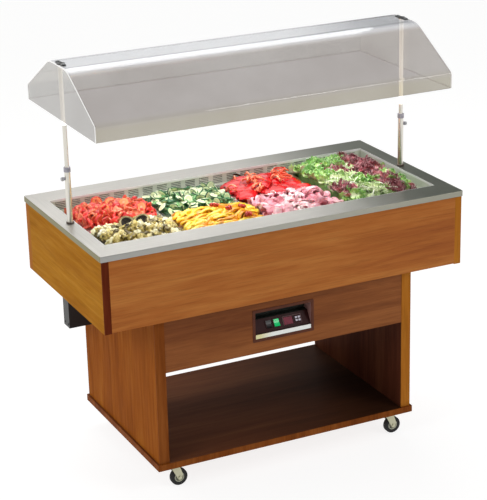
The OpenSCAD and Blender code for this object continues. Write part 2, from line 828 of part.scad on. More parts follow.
module evaporator() {
    color([0.72, 0.74, 0.75]) {
        translate([0, evap_y - evap_w / 2, evap_z]) finned_coil(evap_l, evap_w, evap_h, 2 * fins, evap_rows);
        for (x = [-1, 1])
            translate([x * (evap_l / 2 - 1) - 1, evap_y - evap_w / 2, liner_z])
                cube([2, evap_w, evap_z - liner_z]);
        difference() {
            bar([-evap_l / 2, baffle_y, liner_z], [evap_l / 2, baffle_y + 2, liner_z + 2 * evap_fan_r + 12]);
            translate([0, baffle_y - eps, evap_fan_z]) rod_y(evap_fan_r + 2, 3);
        }
        translate([0, baffle_y + 8, evap_fan_z]) {
            rod_y(12, 18);
            translate([0, -16, 0]) rod_y(2.5, 18);
        }
        bar([-8, baffle_y + 10, liner_z], [8, baffle_y + 24, evap_fan_z - 10]);
    }
}

module evaporator_fan() {
    color([0.12, 0.12, 0.13]) translate([0, baffle_y - 6, evap_fan_z])
        fan(evap_fan_r - 1, 9, 2.5, 5, 10);
}

// Copper lines with bends, each ending on the face it is soldered to, and the drain
module pipework() {
    r = 5;
    bend = 15;
    evap_end = -evap_l / 2 - coil_stub;
    cond_end = cond_x - cond_l / 2 - coil_stub;
    top_z = evap_z + coil_tube_z(evap_h, evap_rows, 1);
    run_z = machine_z + coil_tube_z(cond_h, cond_rows, 2);
    run_y = cond_y + cond_d * coil_tube_y;
    color([0.72, 0.42, 0.25]) {
        translate([pipe_x, pipe_y, comp_top]) cylinder(r = r, h = top_z - bend - comp_top);
        translate([pipe_x, pipe_y, top_z - bend]) elbow(r, bend);
        translate([pipe_x + bend, pipe_y, top_z]) rod_x(r, evap_end - pipe_x - bend);
        translate([comp_x, comp_y + comp_d / 2, run_z]) rod_y(r, run_y - bend - comp_y - comp_d / 2);
        translate([comp_x, run_y - bend, run_z]) rotate([-90, 0, 0]) elbow(r, bend);
        translate([comp_x + bend, run_y, run_z]) rod_x(r, cond_end - comp_x - bend);
    }
    color([0.2, 0.2, 0.2]) translate([drain_x, box_y, tank_z - wall]) difference() {
        cylinder(d = drain_d - 2 * gap, h = liner_z - tank_z + wall);
        translate([0, 0, -eps]) cylinder(d = drain_d - 5, h = liner_z - tank_z + wall + 2 * eps);
    }
}

// ---- Posts and canopy -----------------------------------------------------

module at_posts() {
    for (s = [0, 1]) mirror([s, 0, 0]) translate([post_x, 0, 0]) children();
}

module lower_posts() {
    color([0.75, 0.73, 0.69]) at_posts() difference() {
        translate([0, 0, rim_z]) cylinder(d = post_d, h = post_h);
        translate([0, 0, rim_z - eps]) cylinder(d = rod_d + 2 * gap, h = post_h + 2 * eps);
        translate([0, 0, knob_z]) rod_x(clamp_r + running, post_d);
    }
}

module post_fittings() {
    ring_d = post_d + 8;
    color([0.35, 0.35, 0.35]) at_posts() {
        translate([0, 0, rim_z]) rotate_extrude() difference() {
            union() {
                square([ring_d / 2 - 2, 6]);
                square([ring_d / 2, 4]);
                translate([ring_d / 2 - 2, 4]) circle(2);
            }
            square([post_d / 2, 20]);
        }
        translate([0, 0, rim_z + post_h - collar_h + 2]) difference() {
            cylinder(d = collar_d, h = collar_h);
            translate([0, 0, -eps]) cylinder(d = post_d, h = collar_h - 2 + eps);
            translate([0, 0, -eps]) cylinder(d = rod_d + 2 * gap, h = collar_h + 2 * eps);
        }
        difference() {
            translate([post_d / 2 - 1, 0, knob_z]) rod_x(boss_d / 2, boss_l + 1);
            translate([0, 0, knob_z - boss_d]) cylinder(d = post_d, h = 2 * boss_d);
            translate([0, 0, knob_z]) rod_x(clamp_r + running, post_d);
        }
    }
}

// Thumb screw through the post's wall: x out from the post's axis
module knob() {
    head_x = post_d / 2 + boss_l + gap;
    head_l = 10;
    translate([post_x, 0, knob_z]) {
        translate([rod_d / 2 + gap, 0, 0]) rod_x(clamp_r, head_x - rod_d / 2);
        translate([head_x, 0, 0]) difference() {
            rod_x(knob_d / 2, head_l);
            for (a = [0:45:315])
                rotate([a, 0, 0]) translate([-eps, 0, knob_d / 2 + 1]) rod_x(2.2, head_l + 2 * eps);
        }
    }
}

module knob_left() { color([0.2, 0.2, 0.2]) mirror([1, 0, 0]) knob(); }
module knob_right() { color([0.2, 0.2, 0.2]) knob(); }

module upper_posts() {
    color([0.82, 0.81, 0.79]) at_posts() difference() {
        translate([0, 0, rod_z]) cylinder(d = rod_d, h = canopy_z - sheet_t - rod_z);
        translate([0, 0, rod_z - eps])
            cylinder(d = rod_d - 4, h = canopy_z - sheet_t - rod_z - 20);
    }
}

// Points of an arc, as seen in the canopy's section (x to the back, y up)
function arc(cx, cy, r, a0, a1, n) =
    [for (i = [0:n]) [cx + r * cos(a0 + (a1 - a0) * i / n), cy + r * sin(a0 + (a1 - a0) * i / n)]];

// Right half of the canopy's outline, set in by t, from the lip's foot to the middle
function half_outline(t) =
    let (
        x = canopy_w / 2 - t,
        rk = knee_r - t,
        rt = canopy_r - t,
        // centre of the bend above the lip, which keeps its place as t grows
        kx = canopy_w / 2 - knee_r,
        ky = knee_z - knee_r * tan((90 - slope) / 2),
        // centre of the bend beside the top
        tx = canopy_top_w / 2 - canopy_r * tan(slope / 2),
        ty = canopy_z - canopy_r
    )
    concat([[x, lip_z]], arc(kx, ky, rk, 0, 90 - slope, 6), arc(tx, ty, rt, 90 - slope, 90, 8));

function mirrored(points) = [for (i = [len(points) - 1:-1:0]) [-points[i][0], points[i][1]]];

module canopy_section() {
    outer = half_outline(0);
    inner = half_outline(sheet_t);
    difference() {
        polygon(concat(outer, mirrored(outer)));
        polygon(concat([[inner[0][0], lip_z - 10]], inner, mirrored(inner),
                       [[-inner[0][0], lip_z - 10]]));
    }
}

module canopy_hood() {
    color([0.8, 0.82, 0.84, 0.4]) translate([-canopy_l / 2, 0, 0]) rotate([90, 0, 90])
        linear_extrude(canopy_l) canopy_section();
}

module canopy_ends() {
    inner = half_outline(sheet_t);
    color([0.8, 0.82, 0.84, 0.4]) both_x()
        translate([canopy_l / 2 - sheet_t, 0, 0]) rotate([90, 0, 90])
            linear_extrude(sheet_t) polygon(concat(inner, mirrored(inner)));
}

module top_brackets() {
    color([0.12, 0.12, 0.12]) at_posts() translate([0, 0, canopy_z]) {
        linear_extrude(bracket_t) difference() {
            union() {
                square([bracket_w * 0.6, bracket_l - bracket_w * 0.6], center = true);
                for (y = [-1, 1])
                    translate([0, y * (bracket_l - bracket_w * 0.6) / 2]) circle(bracket_w * 0.3);
                circle(bracket_w / 2);
            }
            circle(rod_d / 2 - 2);
        }
    }
}

module bracket_screws() {
    color([0.3, 0.3, 0.3]) at_posts() for (y = [-1, 1])
        translate([0, y * bracket_screw, canopy_z + bracket_t]) difference() {
            rotate_extrude() union() {
                square([5.5, 1.5]);
                square([4, 3]);
                translate([4, 1.5]) intersection() {
                    circle(1.5);
                    square(3);
                }
            }
            translate([0, 0, 2.4]) cube([1.2, 9, 2], center = true);
        }
}

// ---- Casters --------------------------------------------------------------

axle_r = 4;
pin_r = 5;
race_r = 18;
race_h = 7;
plate_h = 3;
arm_t = 2.5;
arm_gap = 2;
fork_z = caster_h - plate_h - race_h - gap;
crown_t = 3;
arm_y = wheel_w / 2 + arm_gap;

module at_caster(x, y) {
    translate([x * caster_x, y * caster_y, 0]) children();
}

module caster_plates() {
    mount_w = 60;
    color([0.78, 0.77, 0.72]) for (x = [-1, 1], y = [-1, 1]) at_caster(x, y) difference() {
        union() {
            translate([0, 0, caster_h - plate_h]) linear_extrude(plate_h)
                round_rect(mount_w, mount_w, 8);
            translate([0, 0, fork_z + gap]) cylinder(r = race_r, h = race_h);
        }
        translate([0, 0, fork_z]) cylinder(r = pin_r + running, h = race_h);
        for (i = [-1, 1], k = [-1, 1])
            translate([i * 22, k * 22, caster_h - plate_h - eps]) cylinder(r = 3, h = plate_h + 2 * eps);
    }
}

// Swivelling fork: its crown on the kingpin, its arms down to the trailing axle
module fork() {
    arm = [[-race_r + 2, fork_z], [-race_r + 2, fork_z - 8],
           [trail - 8, wheel_d / 2 - 4], [trail + 8, wheel_d / 2 - 4],
           [trail + 12, wheel_d / 2 + 12], [race_r - 2, fork_z]];
    translate([0, 0, fork_z - crown_t]) cylinder(r = race_r, h = crown_t);
    translate([-race_r + 2, -arm_y - arm_t, fork_z - crown_t])
        cube([2 * race_r - 4, 2 * (arm_y + arm_t), crown_t]);
    translate([0, 0, fork_z - crown_t]) cylinder(r = pin_r, h = crown_t + race_h - 1);
    for (s = [-1, 1]) {
        translate([0, s * (arm_y + arm_t / 2), 0]) rotate([90, 0, 0])
            linear_extrude(arm_t, center = true) {
                polygon(arm);
                translate([trail, wheel_d / 2]) circle(9);
            }
        translate([trail, s * (arm_y + arm_t) - (s < 0 ? 3 : 0), wheel_d / 2]) rod_y(6.5, 3);
    }
    translate([trail, -arm_y - arm_t, wheel_d / 2]) rod_y(axle_r, 2 * (arm_y + arm_t));
}

// Wheel with a moulded hub and a rubber tyre, on an axle along y
module wheel() {
    r = wheel_d / 2;
    tyre_in = r - 14;
    w = wheel_w / 2;
    translate([trail, 0, r]) rotate([-90, 0, 0]) {
        rotate_extrude() {
            translate([axle_r + running, -w]) square([6, 2 * w]);
            translate([axle_r + running, -3]) square([tyre_in - axle_r - running, 6]);
            translate([tyre_in - 4, -w + 2]) square([4, 2 * w - 4]);
        }
        rotate_extrude() {
            translate([tyre_in, -w + 1]) square([r - tyre_in - 3, 2 * w - 2]);
            translate([tyre_in, -w + 4]) square([r - tyre_in, 2 * w - 8]);
            for (s = [-1, 1])
                translate([r - 3, s * (w - 4)]) circle(3);
        }
    }
}

module caster_fork_fl() { color([0.8, 0.79, 0.72]) at_caster(-1, -1) fork(); }
module caster_fork_fr() { color([0.8, 0.79, 0.72]) at_caster(1, -1) fork(); }
module caster_fork_rl() { color([0.8, 0.79, 0.72]) at_caster(-1, 1) fork(); }
module caster_fork_rr() { color([0.8, 0.79, 0.72]) at_caster(1, 1) fork(); }
module caster_wheel_fl() { color([0.1, 0.1, 0.1]) at_caster(-1, -1) wheel(); }
module caster_wheel_fr() { color([0.1, 0.1, 0.1]) at_caster(1, -1) wheel(); }
module caster_wheel_rl() { color([0.1, 0.1, 0.1]) at_caster(-1, 1) wheel(); }
module caster_wheel_rr() { color([0.1, 0.1, 0.1]) at_caster(1, 1) wheel(); }

// ---- Assembly -------------------------------------------------------------

rim_frame();
well_liner();
insulation();
air_louvres();
pan_bars();
tank_panel_front();
tank_panel_rear();
tank_panel_left();
tank_panel_right();
edge_strips();
tank_floor();
pedestal_panel_left();
pedestal_panel_right();
fascia_front();
fascia_rear();
bay_ceiling();
base_board();
service_box();
control_housing();
control_plate();
display();
control_board();
compressor();
condenser();
fan_shroud();
evaporator();
pipework();
lower_posts();
post_fittings();
caster_plates();
canopy_hood();
canopy_ends();
upper_posts();
top_brackets();
bracket_screws();
knob_left();
knob_right();
caster_fork_fl();
caster_fork_fr();
caster_fork_rl();
caster_fork_rr();
caster_wheel_fl();
caster_wheel_fr();
caster_wheel_rl();
caster_wheel_rr();
rocker_black();
rocker_green();
button_1();
button_2();
button_3();
button_4();
condenser_fan();
evaporator_fan();
pan_1_rear();
pan_1_front();
pan_2_rear();
pan_2_front();
pan_3_rear();
pan_3_front();
pan_4();
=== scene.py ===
"""Looks of the mobile salad bar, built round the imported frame. Metres throughout."""
import math
import random

import bpy
from mathutils import Matrix, Vector, noise

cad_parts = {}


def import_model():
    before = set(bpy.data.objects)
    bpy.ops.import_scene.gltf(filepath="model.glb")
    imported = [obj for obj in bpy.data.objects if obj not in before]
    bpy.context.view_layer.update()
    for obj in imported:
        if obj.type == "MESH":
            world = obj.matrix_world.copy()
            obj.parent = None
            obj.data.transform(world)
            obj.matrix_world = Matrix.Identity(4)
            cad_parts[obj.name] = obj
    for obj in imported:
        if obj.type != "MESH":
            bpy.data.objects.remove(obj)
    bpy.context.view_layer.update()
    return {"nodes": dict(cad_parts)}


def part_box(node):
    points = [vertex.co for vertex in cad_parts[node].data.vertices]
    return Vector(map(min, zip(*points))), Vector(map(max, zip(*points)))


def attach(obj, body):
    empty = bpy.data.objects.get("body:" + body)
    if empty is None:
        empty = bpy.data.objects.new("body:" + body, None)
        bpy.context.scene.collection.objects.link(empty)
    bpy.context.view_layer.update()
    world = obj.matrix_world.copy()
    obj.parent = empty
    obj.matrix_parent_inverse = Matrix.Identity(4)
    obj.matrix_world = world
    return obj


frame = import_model()
NODES = frame["nodes"]

# Places taken from the frame
LIP_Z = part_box("canopy_ends")[0].z
HOOD_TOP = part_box("canopy_hood")[1].z
CANOPY_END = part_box("canopy_hood")[1].x
KNEE_Z = LIP_Z + 0.06       # where the canopy's upright lip bends into the slope
WELL_HALF_Y = 0.288         # from the middle to the rim's inner edge, front and back
RIM_ROUND = 0.0012          # how far below the ledges the rim turns down
FLANGE = 0.0145             # width of a pan's flange, with its round corner
BEZEL = 0.009               # width of the control recess's bezel
BEZEL_THICK = 0.0015
HUB_SHARE = 20 / 34         # the caster hub's radius to the tyre's
CORNERS = ("fl", "fr", "rl", "rr")
HAIR = 0.001                # allowance where a face is told by its place

# Tints of the canopy's sheets, as seen through one sheet; they are one acrylic, so the differences between
# them are painted light and shade
SMOKE_FRONT = (171, 165, 162)
SMOKE_LIP = (172, 166, 152)
SMOKE_REAR = (236, 237, 236)
SMOKE_TOP = (188, 189, 193)
SMOKE_LEFT = (175, 172, 169)
SMOKE_RIGHT = (236, 236, 234)
# Painted glow on the far sheets and on the crown, added as emission at each surface
PAINTED_GLOW_FAR = (0.14, 0.14, 0.136)
PAINTED_GLOW_TOP = (0.05, 0.05, 0.055)
BLACK = (0, 0, 0)

# Camera of the photograph: its pixels, focal length in pixels, direction in degrees, place
IMAGE = (487, 500)
FOCAL_PX = 1744.73
AZIMUTH, ELEVATION, ROLL = -25.65, 19.96, -1.43
CAMERA_AT = (-2.77319, -5.7728, 3.08869)

# Light of the room before and behind the object, and of the dark screen behind it
WORLD_FRONT = (0.19, 0.19, 0.185)
WORLD_BACK = (0.9, 0.9, 0.88)
WORLD_SCREEN = (0.05, 0.058, 0.05)
SCREEN = (27.0, 30.5, 80.0, 100.0)      # turn from +Y to +X where the screen begins and ends


def srgb(r, g, b):
    """Linear colour of an 8-bit screen colour."""
    out = []
    for v in (r, g, b):
        v /= 255
        out.append(v / 12.92 if v <= 0.04045 else ((v + 0.055) / 1.055) ** 2.4)
    return tuple(out)


# ---- Materials ------------------------------------------------------------------


class Nodes:
    """Short ways to add nodes to a tree; an input may be a value or another node's output."""

    def __init__(self, tree):
        self.tree = tree
        tree.nodes.clear()

    def node(self, kind, **props):
        n = self.tree.nodes.new("ShaderNode" + kind)
        for key, value in props.items():
            setattr(n, key, value)
        return n

    def put(self, socket, value):
        if isinstance(value, bpy.types.NodeSocket):
            self.tree.links.new(value, socket)
        elif socket.type == "RGBA" and len(value) == 3:
            socket.default_value = (*value, 1)
        else:
            socket.default_value = value

    def fill(self, kind, *values, **props):
        """A node whose first inputs get the values, and its first output."""
        n = self.node(kind, **props)
        for socket, value in zip(n.inputs, values):
            self.put(socket, value)
        return n.outputs[0]

    def mapped(self, vector, scale=(1, 1, 1), at=(0, 0, 0)):
        n = self.node("Mapping")
        self.put(n.inputs["Vector"], vector)
        n.inputs["Scale"].default_value = scale
        n.inputs["Location"].default_value = at
        return n.outputs[0]

    def coords(self, scale=(1, 1, 1), at=(0, 0, 0), kind="Object"):
        return self.mapped(self.node("TexCoord").outputs[kind], scale, at)

    def local(self, scale=(1, 1, 1)):
        """The piece's own coordinates, written on its mesh."""
        return self.mapped(self.node("Attribute", attribute_name="local").outputs["Vector"], scale)

    def facing(self):
        """Place within the piece's own box, from -1 to 1 across and up, seen from the front."""
        return self.coords((2, 0, 2), (-1, 0, -1), kind="Generated")

    def tint(self):
        """A number from 0 to 1, different for each piece of food."""
        return self.node("Attribute", attribute_name="tint").outputs["Fac"]

    def noise(self, vector, scale, detail=4, rough=0.5, distortion=0):
        n = self.node("TexNoise")
        self.put(n.inputs["Vector"], vector)
        n.inputs["Scale"].default_value = scale
        n.inputs["Detail"].default_value = detail
        n.inputs["Roughness"].default_value = rough
        n.inputs["Distortion"].default_value = distortion
        return n.outputs[0]

    def voronoi(self, vector, scale):
        n = self.node("TexVoronoi")
        self.put(n.inputs["Vector"], vector)
        n.inputs["Scale"].default_value = scale
        return n.outputs["Distance"]

    def ramp(self, fac, *stops):
        """Screen colours at places from 0 to 1, blended in between."""
        n = self.node("ValToRGB")
        elements = n.color_ramp.elements
        while len(elements) < len(stops):
            elements.new(0.5)
        for element, (place, colour) in zip(elements, stops):
            element.position = place
            element.color = (*srgb(*colour), 1)
        self.put(n.inputs[0], fac)
        return n.outputs[0]

    def mottle(self, fac, dark, light):
        """Two screen colours over the middle range of a noise."""
        return self.ramp(fac, (0.3, dark), (0.7, light))

    def mix(self, fac, a, b, mode="MIX"):
        n = self.node("Mix", data_type="RGBA", blend_type=mode)
        for index, value in ((0, fac), (6, a), (7, b)):
            self.put(n.inputs[index], value)
        return n.outputs[2]

    def maths(self, op, a, b=0.0):
        return self.fill("Math", a, b, operation=op)

    def plus(self, a, b):
        return self.maths("ADD", a, b)

    def minus(self, a, b):
        return self.maths("SUBTRACT", a, b)

    def times(self, a, b):
        return self.maths("MULTIPLY", a, b)

    def above(self, a, b):
        return self.maths("GREATER_THAN", a, b)

    def below(self, a, b):
        return self.maths("LESS_THAN", a, b)

    def most(self, a, b):
        return self.maths("MAXIMUM", a, b)

    def size(self, a):
        return self.maths("ABSOLUTE", a)

    def span(self, value, low, high, to_low=0.0, to_high=1.0, **props):
        return self.fill("MapRange", value, low, high, to_low, to_high, **props)

    def axis(self, vector, index):
        n = self.node("SeparateXYZ")
        self.put(n.inputs[0], vector)
        return n.outputs[index]

    def length(self, vector):
        n = self.node("VectorMath", operation="LENGTH")
        self.put(n.inputs[0], vector)
        return n.outputs["Value"]


class Shader(Nodes):
    """A material with one Principled shader."""

    def __init__(self, name, **values):
        self.mat = bpy.data.materials.new(name)
        self.mat.use_nodes = True
        super().__init__(self.mat.node_tree)
        self.out = self.node("OutputMaterial")
        self.bsdf = self.node("BsdfPrincipled")
        self.put(self.out.inputs[0], self.bsdf.outputs[0])
        self.set(**values)

    def set(self, **values):
        """Sets the shader's sockets: Base_Color=..., Roughness=..."""
        for key, value in values.items():
            self.put(self.bsdf.inputs[key.replace("_", " ")], value)

    def bump(self, height, distance, strength=0.5):
        """Adds relief and gives back the finished material."""
        n = self.node("Bump")
        self.put(n.inputs["Height"], height)
        n.inputs["Distance"].default_value = distance
        n.inputs["Strength"].default_value = strength
        self.put(self.bsdf.inputs["Normal"], n.outputs[0])
        return self.mat


GRAIN = {"x": (0.7, 9, 9), "y": (9, 0.7, 9), "z": (9, 9, 0.7)}
FIBRE = {"x": (8, 260, 260), "y": (260, 8, 260), "z": (260, 260, 8)}
FIBRE_DEPTH = 0.00012
SATIN = {"Specular_IOR_Level": 0.1}
MATT = {"Specular_IOR_Level": 0.01}


def wood_tones(s, along, dark, mid, light, seed=0.0):
    """Colour and streak value of a sliced veneer with its grain along one axis."""
    v = s.coords(GRAIN[along], at=(seed, seed * 1.7, seed * 0.6))
    broad = s.noise(v, 0.9, 3, 0.5, 0.9)
    streak = s.noise(v, 5.5, 7, 0.62, 0.35)
    value = s.plus(s.times(broad, 0.55), s.times(streak, 0.45))
    tone = s.ramp(value, (0.27, dark), (0.5, mid), (0.73, light))
    fibre = s.noise(s.coords(FIBRE[along]), 1.0, 3, 0.6)
    pores = s.span(fibre, 0.36, 0.5, 0.72, 1.0)
    return s.mix(0.55, tone, s.mix(1.0, tone, pores, "MULTIPLY")), streak, fibre


def wood(name, along, dark, mid, light, seed=0.0, gloss=0.4, sheen=SATIN):
    """Plain panel of one veneer."""
    s = Shader(name, **sheen)
    tone, streak, fibre = wood_tones(s, along, dark, mid, light, seed)
    s.set(Base_Color=tone, Roughness=s.span(streak, 0.3, 0.7, gloss + 0.08, gloss - 0.06))
    return s.bump(fibre, FIBRE_DEPTH)


def brushed(name, tone, rough, scale, wear=0.06):
    """Satin metal with brushing in the direction of the smallest scale."""
    s = Shader(name, Metallic=1.0)
    lines = s.noise(s.coords(scale), 1.0, 4, 0.6)
    cloud = s.noise(s.coords(), 5.0, 3)
    worn = s.span(lines, 0.3, 0.7, 1 - wear, 1.0)
    s.set(Base_Color=s.mix(1.0, srgb(*tone), worn, "MULTIPLY"),
          Roughness=s.span(cloud, 0.3, 0.7, rough - 0.03, rough + 0.04))
    return s.bump(lines, 0.00003, 0.35)


def rim_steel():
    """Brushed along each ledge, with a mitre between; painted reflection darkens the ledges to the right
    and tints the aprons, and a painted highlight makes the inner edge pale.
    """
    s = Shader("rim_brushed")
    xyz = s.coords()
    x, z = s.axis(xyz, 0), s.axis(xyz, 2)
    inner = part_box("air_louvres")[1].x, WELL_HALF_Y
    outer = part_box("rim_frame")[1]
    across = []
    for i in range(2):
        past = s.minus(s.size(s.axis(xyz, i)), inner[i])
        across.append(s.maths("DIVIDE", past, outer[i] - inner[i]))
    long_lines = s.noise(s.coords((3, 420, 420)), 1.0, 5, 0.6)
    end_lines = s.noise(s.coords((420, 3, 420)), 1.0, 5, 0.6)
    lines = s.mix(s.above(*across), long_lines, end_lines)
    ledge = s.mottle(lines, (184, 181, 176), (202, 199, 194))
    # Painted reflection: the ledges get darker towards the right.
    ledge = s.mix(s.span(x, 0.1, 0.6), ledge, s.mix(1.0, ledge, srgb(156, 162, 154), "MULTIPLY"))
    # Painted reflection on the aprons: warmer to the right, olive on the left end, and partly darkened with
    # the ledges.
    apron = s.mix(s.span(x, -0.7, 0.5), srgb(184, 184, 181), srgb(190, 188, 174))
    apron = s.mix(s.below(x, 2 * HAIR - outer.x), apron, srgb(158, 154, 124))
    apron = s.mix(0.4, apron, s.mix(1.0, apron, ledge, "MULTIPLY"))
    down = s.below(z, outer.z - RIM_ROUND)
    # Painted highlight: the inner edge is pale and not metallic.
    inner_edge_highlight = s.below(s.most(*across), 0.015)
    rough = s.span(s.noise(xyz, 4.0, 4, 0.55), 0.3, 0.7, 0.32, 0.38)
    s.set(Base_Color=s.mix(inner_edge_highlight, s.mix(down, ledge, apron), srgb(236, 236, 234)),
          Metallic=s.minus(1.0, inner_edge_highlight), Roughness=s.plus(rough, s.times(down, 0.17)))
    return s.bump(lines, 0.000002, 0.3)


TUBE_LINES = (300, 300, 5)


def upper_tube():
    """Cream tube with a painted glow where it stands under the canopy."""
    s = Shader("post_tube_upper", Metallic=1.0, Roughness=0.3, Emission_Strength=1.0)
    xyz = s.coords()
    lines = s.noise(s.coords(TUBE_LINES), 1.0, 4, 0.6)
    # Painted light: the tube glows above this height, in place of the light the canopy keeps off.
    drop = s.times(s.above(s.axis(xyz, 0), 0.0), 0.12)
    under = s.above(s.plus(s.axis(xyz, 2), drop), LIP_Z - 0.02)
    s.set(Base_Color=s.mottle(lines, (216, 212, 202), (228, 224, 214)),
          Emission_Color=s.mix(under, BLACK, (0.95, 0.92, 0.86)))
    return s.bump(lines, 0.00003, 0.35)


def ring_material():
    """Grey collars, and brown rings at the posts' feet."""
    s = Shader("post_ring", Roughness=0.4)
    xyz = s.coords()
    cloud = s.noise(xyz, 60, 3)
    collar = s.mottle(cloud, (150, 146, 156), (168, 164, 174))
    foot = s.mottle(cloud, (74, 62, 54), (98, 84, 74))
    is_foot = s.below(s.axis(xyz, 2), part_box("rim_frame")[1].z + 0.03)
    s.set(Base_Color=s.mix(is_foot, collar, foot))
    return s.bump(s.noise(xyz, 900, 2), 0.00003)


def plastic(name, tone, rough=0.45, grain=900, depth=0.00004, spread=0.12, **more):
    """Moulded plastic or paint: slight mottling and a fine grain."""
    s = Shader(name, **more)
    cloud = s.noise(s.coords(), 22, 3)
    base = srgb(*tone)
    dark = tuple(c * (1 - spread) for c in base)
    s.set(Base_Color=s.mix(cloud, dark, base),
          Roughness=s.span(cloud, 0.3, 0.7, rough - 0.05, rough + 0.05))
    return s.bump(s.noise(s.coords(), grain, 2), depth)


# Painted light: the cut edges glow white.
EDGE_GLOW_LOOK = {"Base Color": srgb(120, 121, 122), "Roughness": 0.2, "Emission Color": (1, 0.98, 0.96),
             "Emission Strength": 0.66}


def clear_sheet(name, smoke, glow, edge_mask):
    """Smoked clear acrylic with a slight uneven haze in its tint, a painted glow, and cut edges painted
    bright.
    """
    s = Shader(name, Transmission_Weight=1.0, IOR=1.38, Emission_Strength=1.0)
    xyz = s.coords()
    haze = s.noise(xyz, 3.0, 3)
    s.set(Base_Color=s.mix(s.span(haze, 0.3, 0.7, 0.0, 0.12), smoke(s, xyz), (1, 1, 1)),
          Roughness=s.span(haze, 0.3, 0.7, 0.02, 0.05), Emission_Color=glow(s, xyz))
    edge = s.node("BsdfPrincipled")
    for key, value in EDGE_GLOW_LOOK.items():
        s.put(edge.inputs[key], value)
    blend = s.fill("MixShader", edge_mask(s, xyz), s.bsdf.outputs[0], edge.outputs[0])
    s.put(s.out.inputs[0], blend)
    return s.mat


def near_crown(s, z):
    """0 on the canopy's slopes, 1 on its flat top."""
    return s.span(z, HOOD_TOP - 0.02, HOOD_TOP - 0.006)


def hood_smoke(s, xyz):
    """Painted light and shade on one acrylic: front slope and lip dark, rear slope nearly clear, the top in
    between.
    """
    y, z = s.axis(xyz, 1), s.axis(xyz, 2)
    front = s.mix(s.span(z, KNEE_Z - 0.02, KNEE_Z + 0.01), srgb(*SMOKE_LIP), srgb(*SMOKE_FRONT))
    sides = s.mix(s.span(y, -0.06, 0.06), front, srgb(*SMOKE_REAR))
    return s.mix(near_crown(s, z), sides, srgb(*SMOKE_TOP))


def hood_painted_glow(s, xyz):
    """Painted glow on the rear slope, half as much on the rear lip and little on the crown."""
    y, z = s.axis(xyz, 1), s.axis(xyz, 2)
    rear = s.mix(s.span(y, 0.0, 0.08), BLACK, PAINTED_GLOW_FAR)
    rear = s.mix(s.span(z, KNEE_Z - 0.01, KNEE_Z + 0.005, 0.5, 0.0), rear, BLACK)
    return s.mix(near_crown(s, z), rear, PAINTED_GLOW_TOP)


def foot_line(s, xyz, index):
    """Line along the lip's foot, on the positive side of one axis."""
    return s.times(s.below(s.axis(xyz, 2), LIP_Z + 0.005), s.above(s.axis(xyz, index), 0.0))


def hood_edges(s, xyz):
    """Cut ends of the hood, and a line along the rear lip's foot, which get the painted light of the edges.
    """
    ends = s.above(s.size(s.axis(xyz, 0)), CANOPY_END - 0.8 * HAIR)
    return s.most(ends, foot_line(s, xyz, 1))


def end_smoke(s, xyz):
    """Painted light and shade on one acrylic: left end dark, right end nearly clear."""
    return s.mix(s.above(s.axis(xyz, 0), 0.0), srgb(*SMOKE_LEFT), srgb(*SMOKE_RIGHT))


def end_painted_glow(s, xyz):
    """Painted glow on the right end, growing towards its top."""
    foot = tuple(value / 2 for value in PAINTED_GLOW_FAR)
    right = s.mix(s.span(s.axis(xyz, 2), LIP_Z, HOOD_TOP), foot, PAINTED_GLOW_FAR)
    return s.mix(s.above(s.axis(xyz, 0), 0.0), BLACK, right)


def end_edges(s, xyz):
    """Cut edge all round each end, and a line along the right end's foot, which get the painted light of
    the edges.
    """
    cut = s.below(s.size(s.axis(s.coords(kind="Normal"), 0)), 0.5)
    return s.most(cut, foot_line(s, xyz, 0))


def pedestal_wood():
    """Side panels of the pedestal: warm outside, and painted shade making the faces that line the bay dark
    brown.
    """
    s = Shader("wood_pedestal_side", **MATT)
    outside, streak, fibre = wood_tones(s, "z", (108, 48, 8), (145, 78, 18), (170, 104, 30), 6.0)
    # Painted shade: darker tones for the faces that line the bay.
    inside = wood_tones(s, "z", (58, 26, 16), (82, 42, 28), (106, 62, 40), 8.0)[0]
    x = s.axis(s.coords(), 0)
    shaded_bay_faces = s.below(s.size(x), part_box("pedestal_panel_right")[0].x + HAIR)
    s.set(Base_Color=s.mix(shaded_bay_faces, outside, inside), Roughness=s.span(streak, 0.3, 0.7, 0.58, 0.44))
    return s.bump(fibre, FIBRE_DEPTH)


def edge_wood():
    """Lippings: painted shade makes them dark on the left, painted light makes them golden on the right and
    light at the rear of the tank.
    """
    s = Shader("wood_lipping", **MATT)
    dark, _, fibre = wood_tones(s, "z", (68, 24, 12), (90, 36, 18), (114, 52, 28))
    gold = wood_tones(s, "z", (138, 74, 20), (164, 100, 32), (190, 126, 50), 3.0)[0]
    brown = wood_tones(s, "z", (94, 46, 16), (124, 66, 26), (152, 90, 42), 5.0)[0]
    xyz = s.coords()
    x, y, z = (s.axis(xyz, i) for i in range(3))
    tank = s.above(z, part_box("tank_floor")[0].z - HAIR)
    right = s.above(x, 0.0)
    # Painted light and shade: one lipping, dark on the left, gold on the right and at the rear.
    tank_tone = s.mix(s.above(y, 0.2), s.mix(right, dark, gold), gold)
    board = s.below(z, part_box("base_board")[1].z + HAIR / 2)
    pedestal_tone = s.mix(board, s.mix(right, brown, gold), brown)
    s.set(Base_Color=s.mix(tank, pedestal_tone, tank_tone), Roughness=0.4)
    return s.bump(fibre, FIBRE_DEPTH)


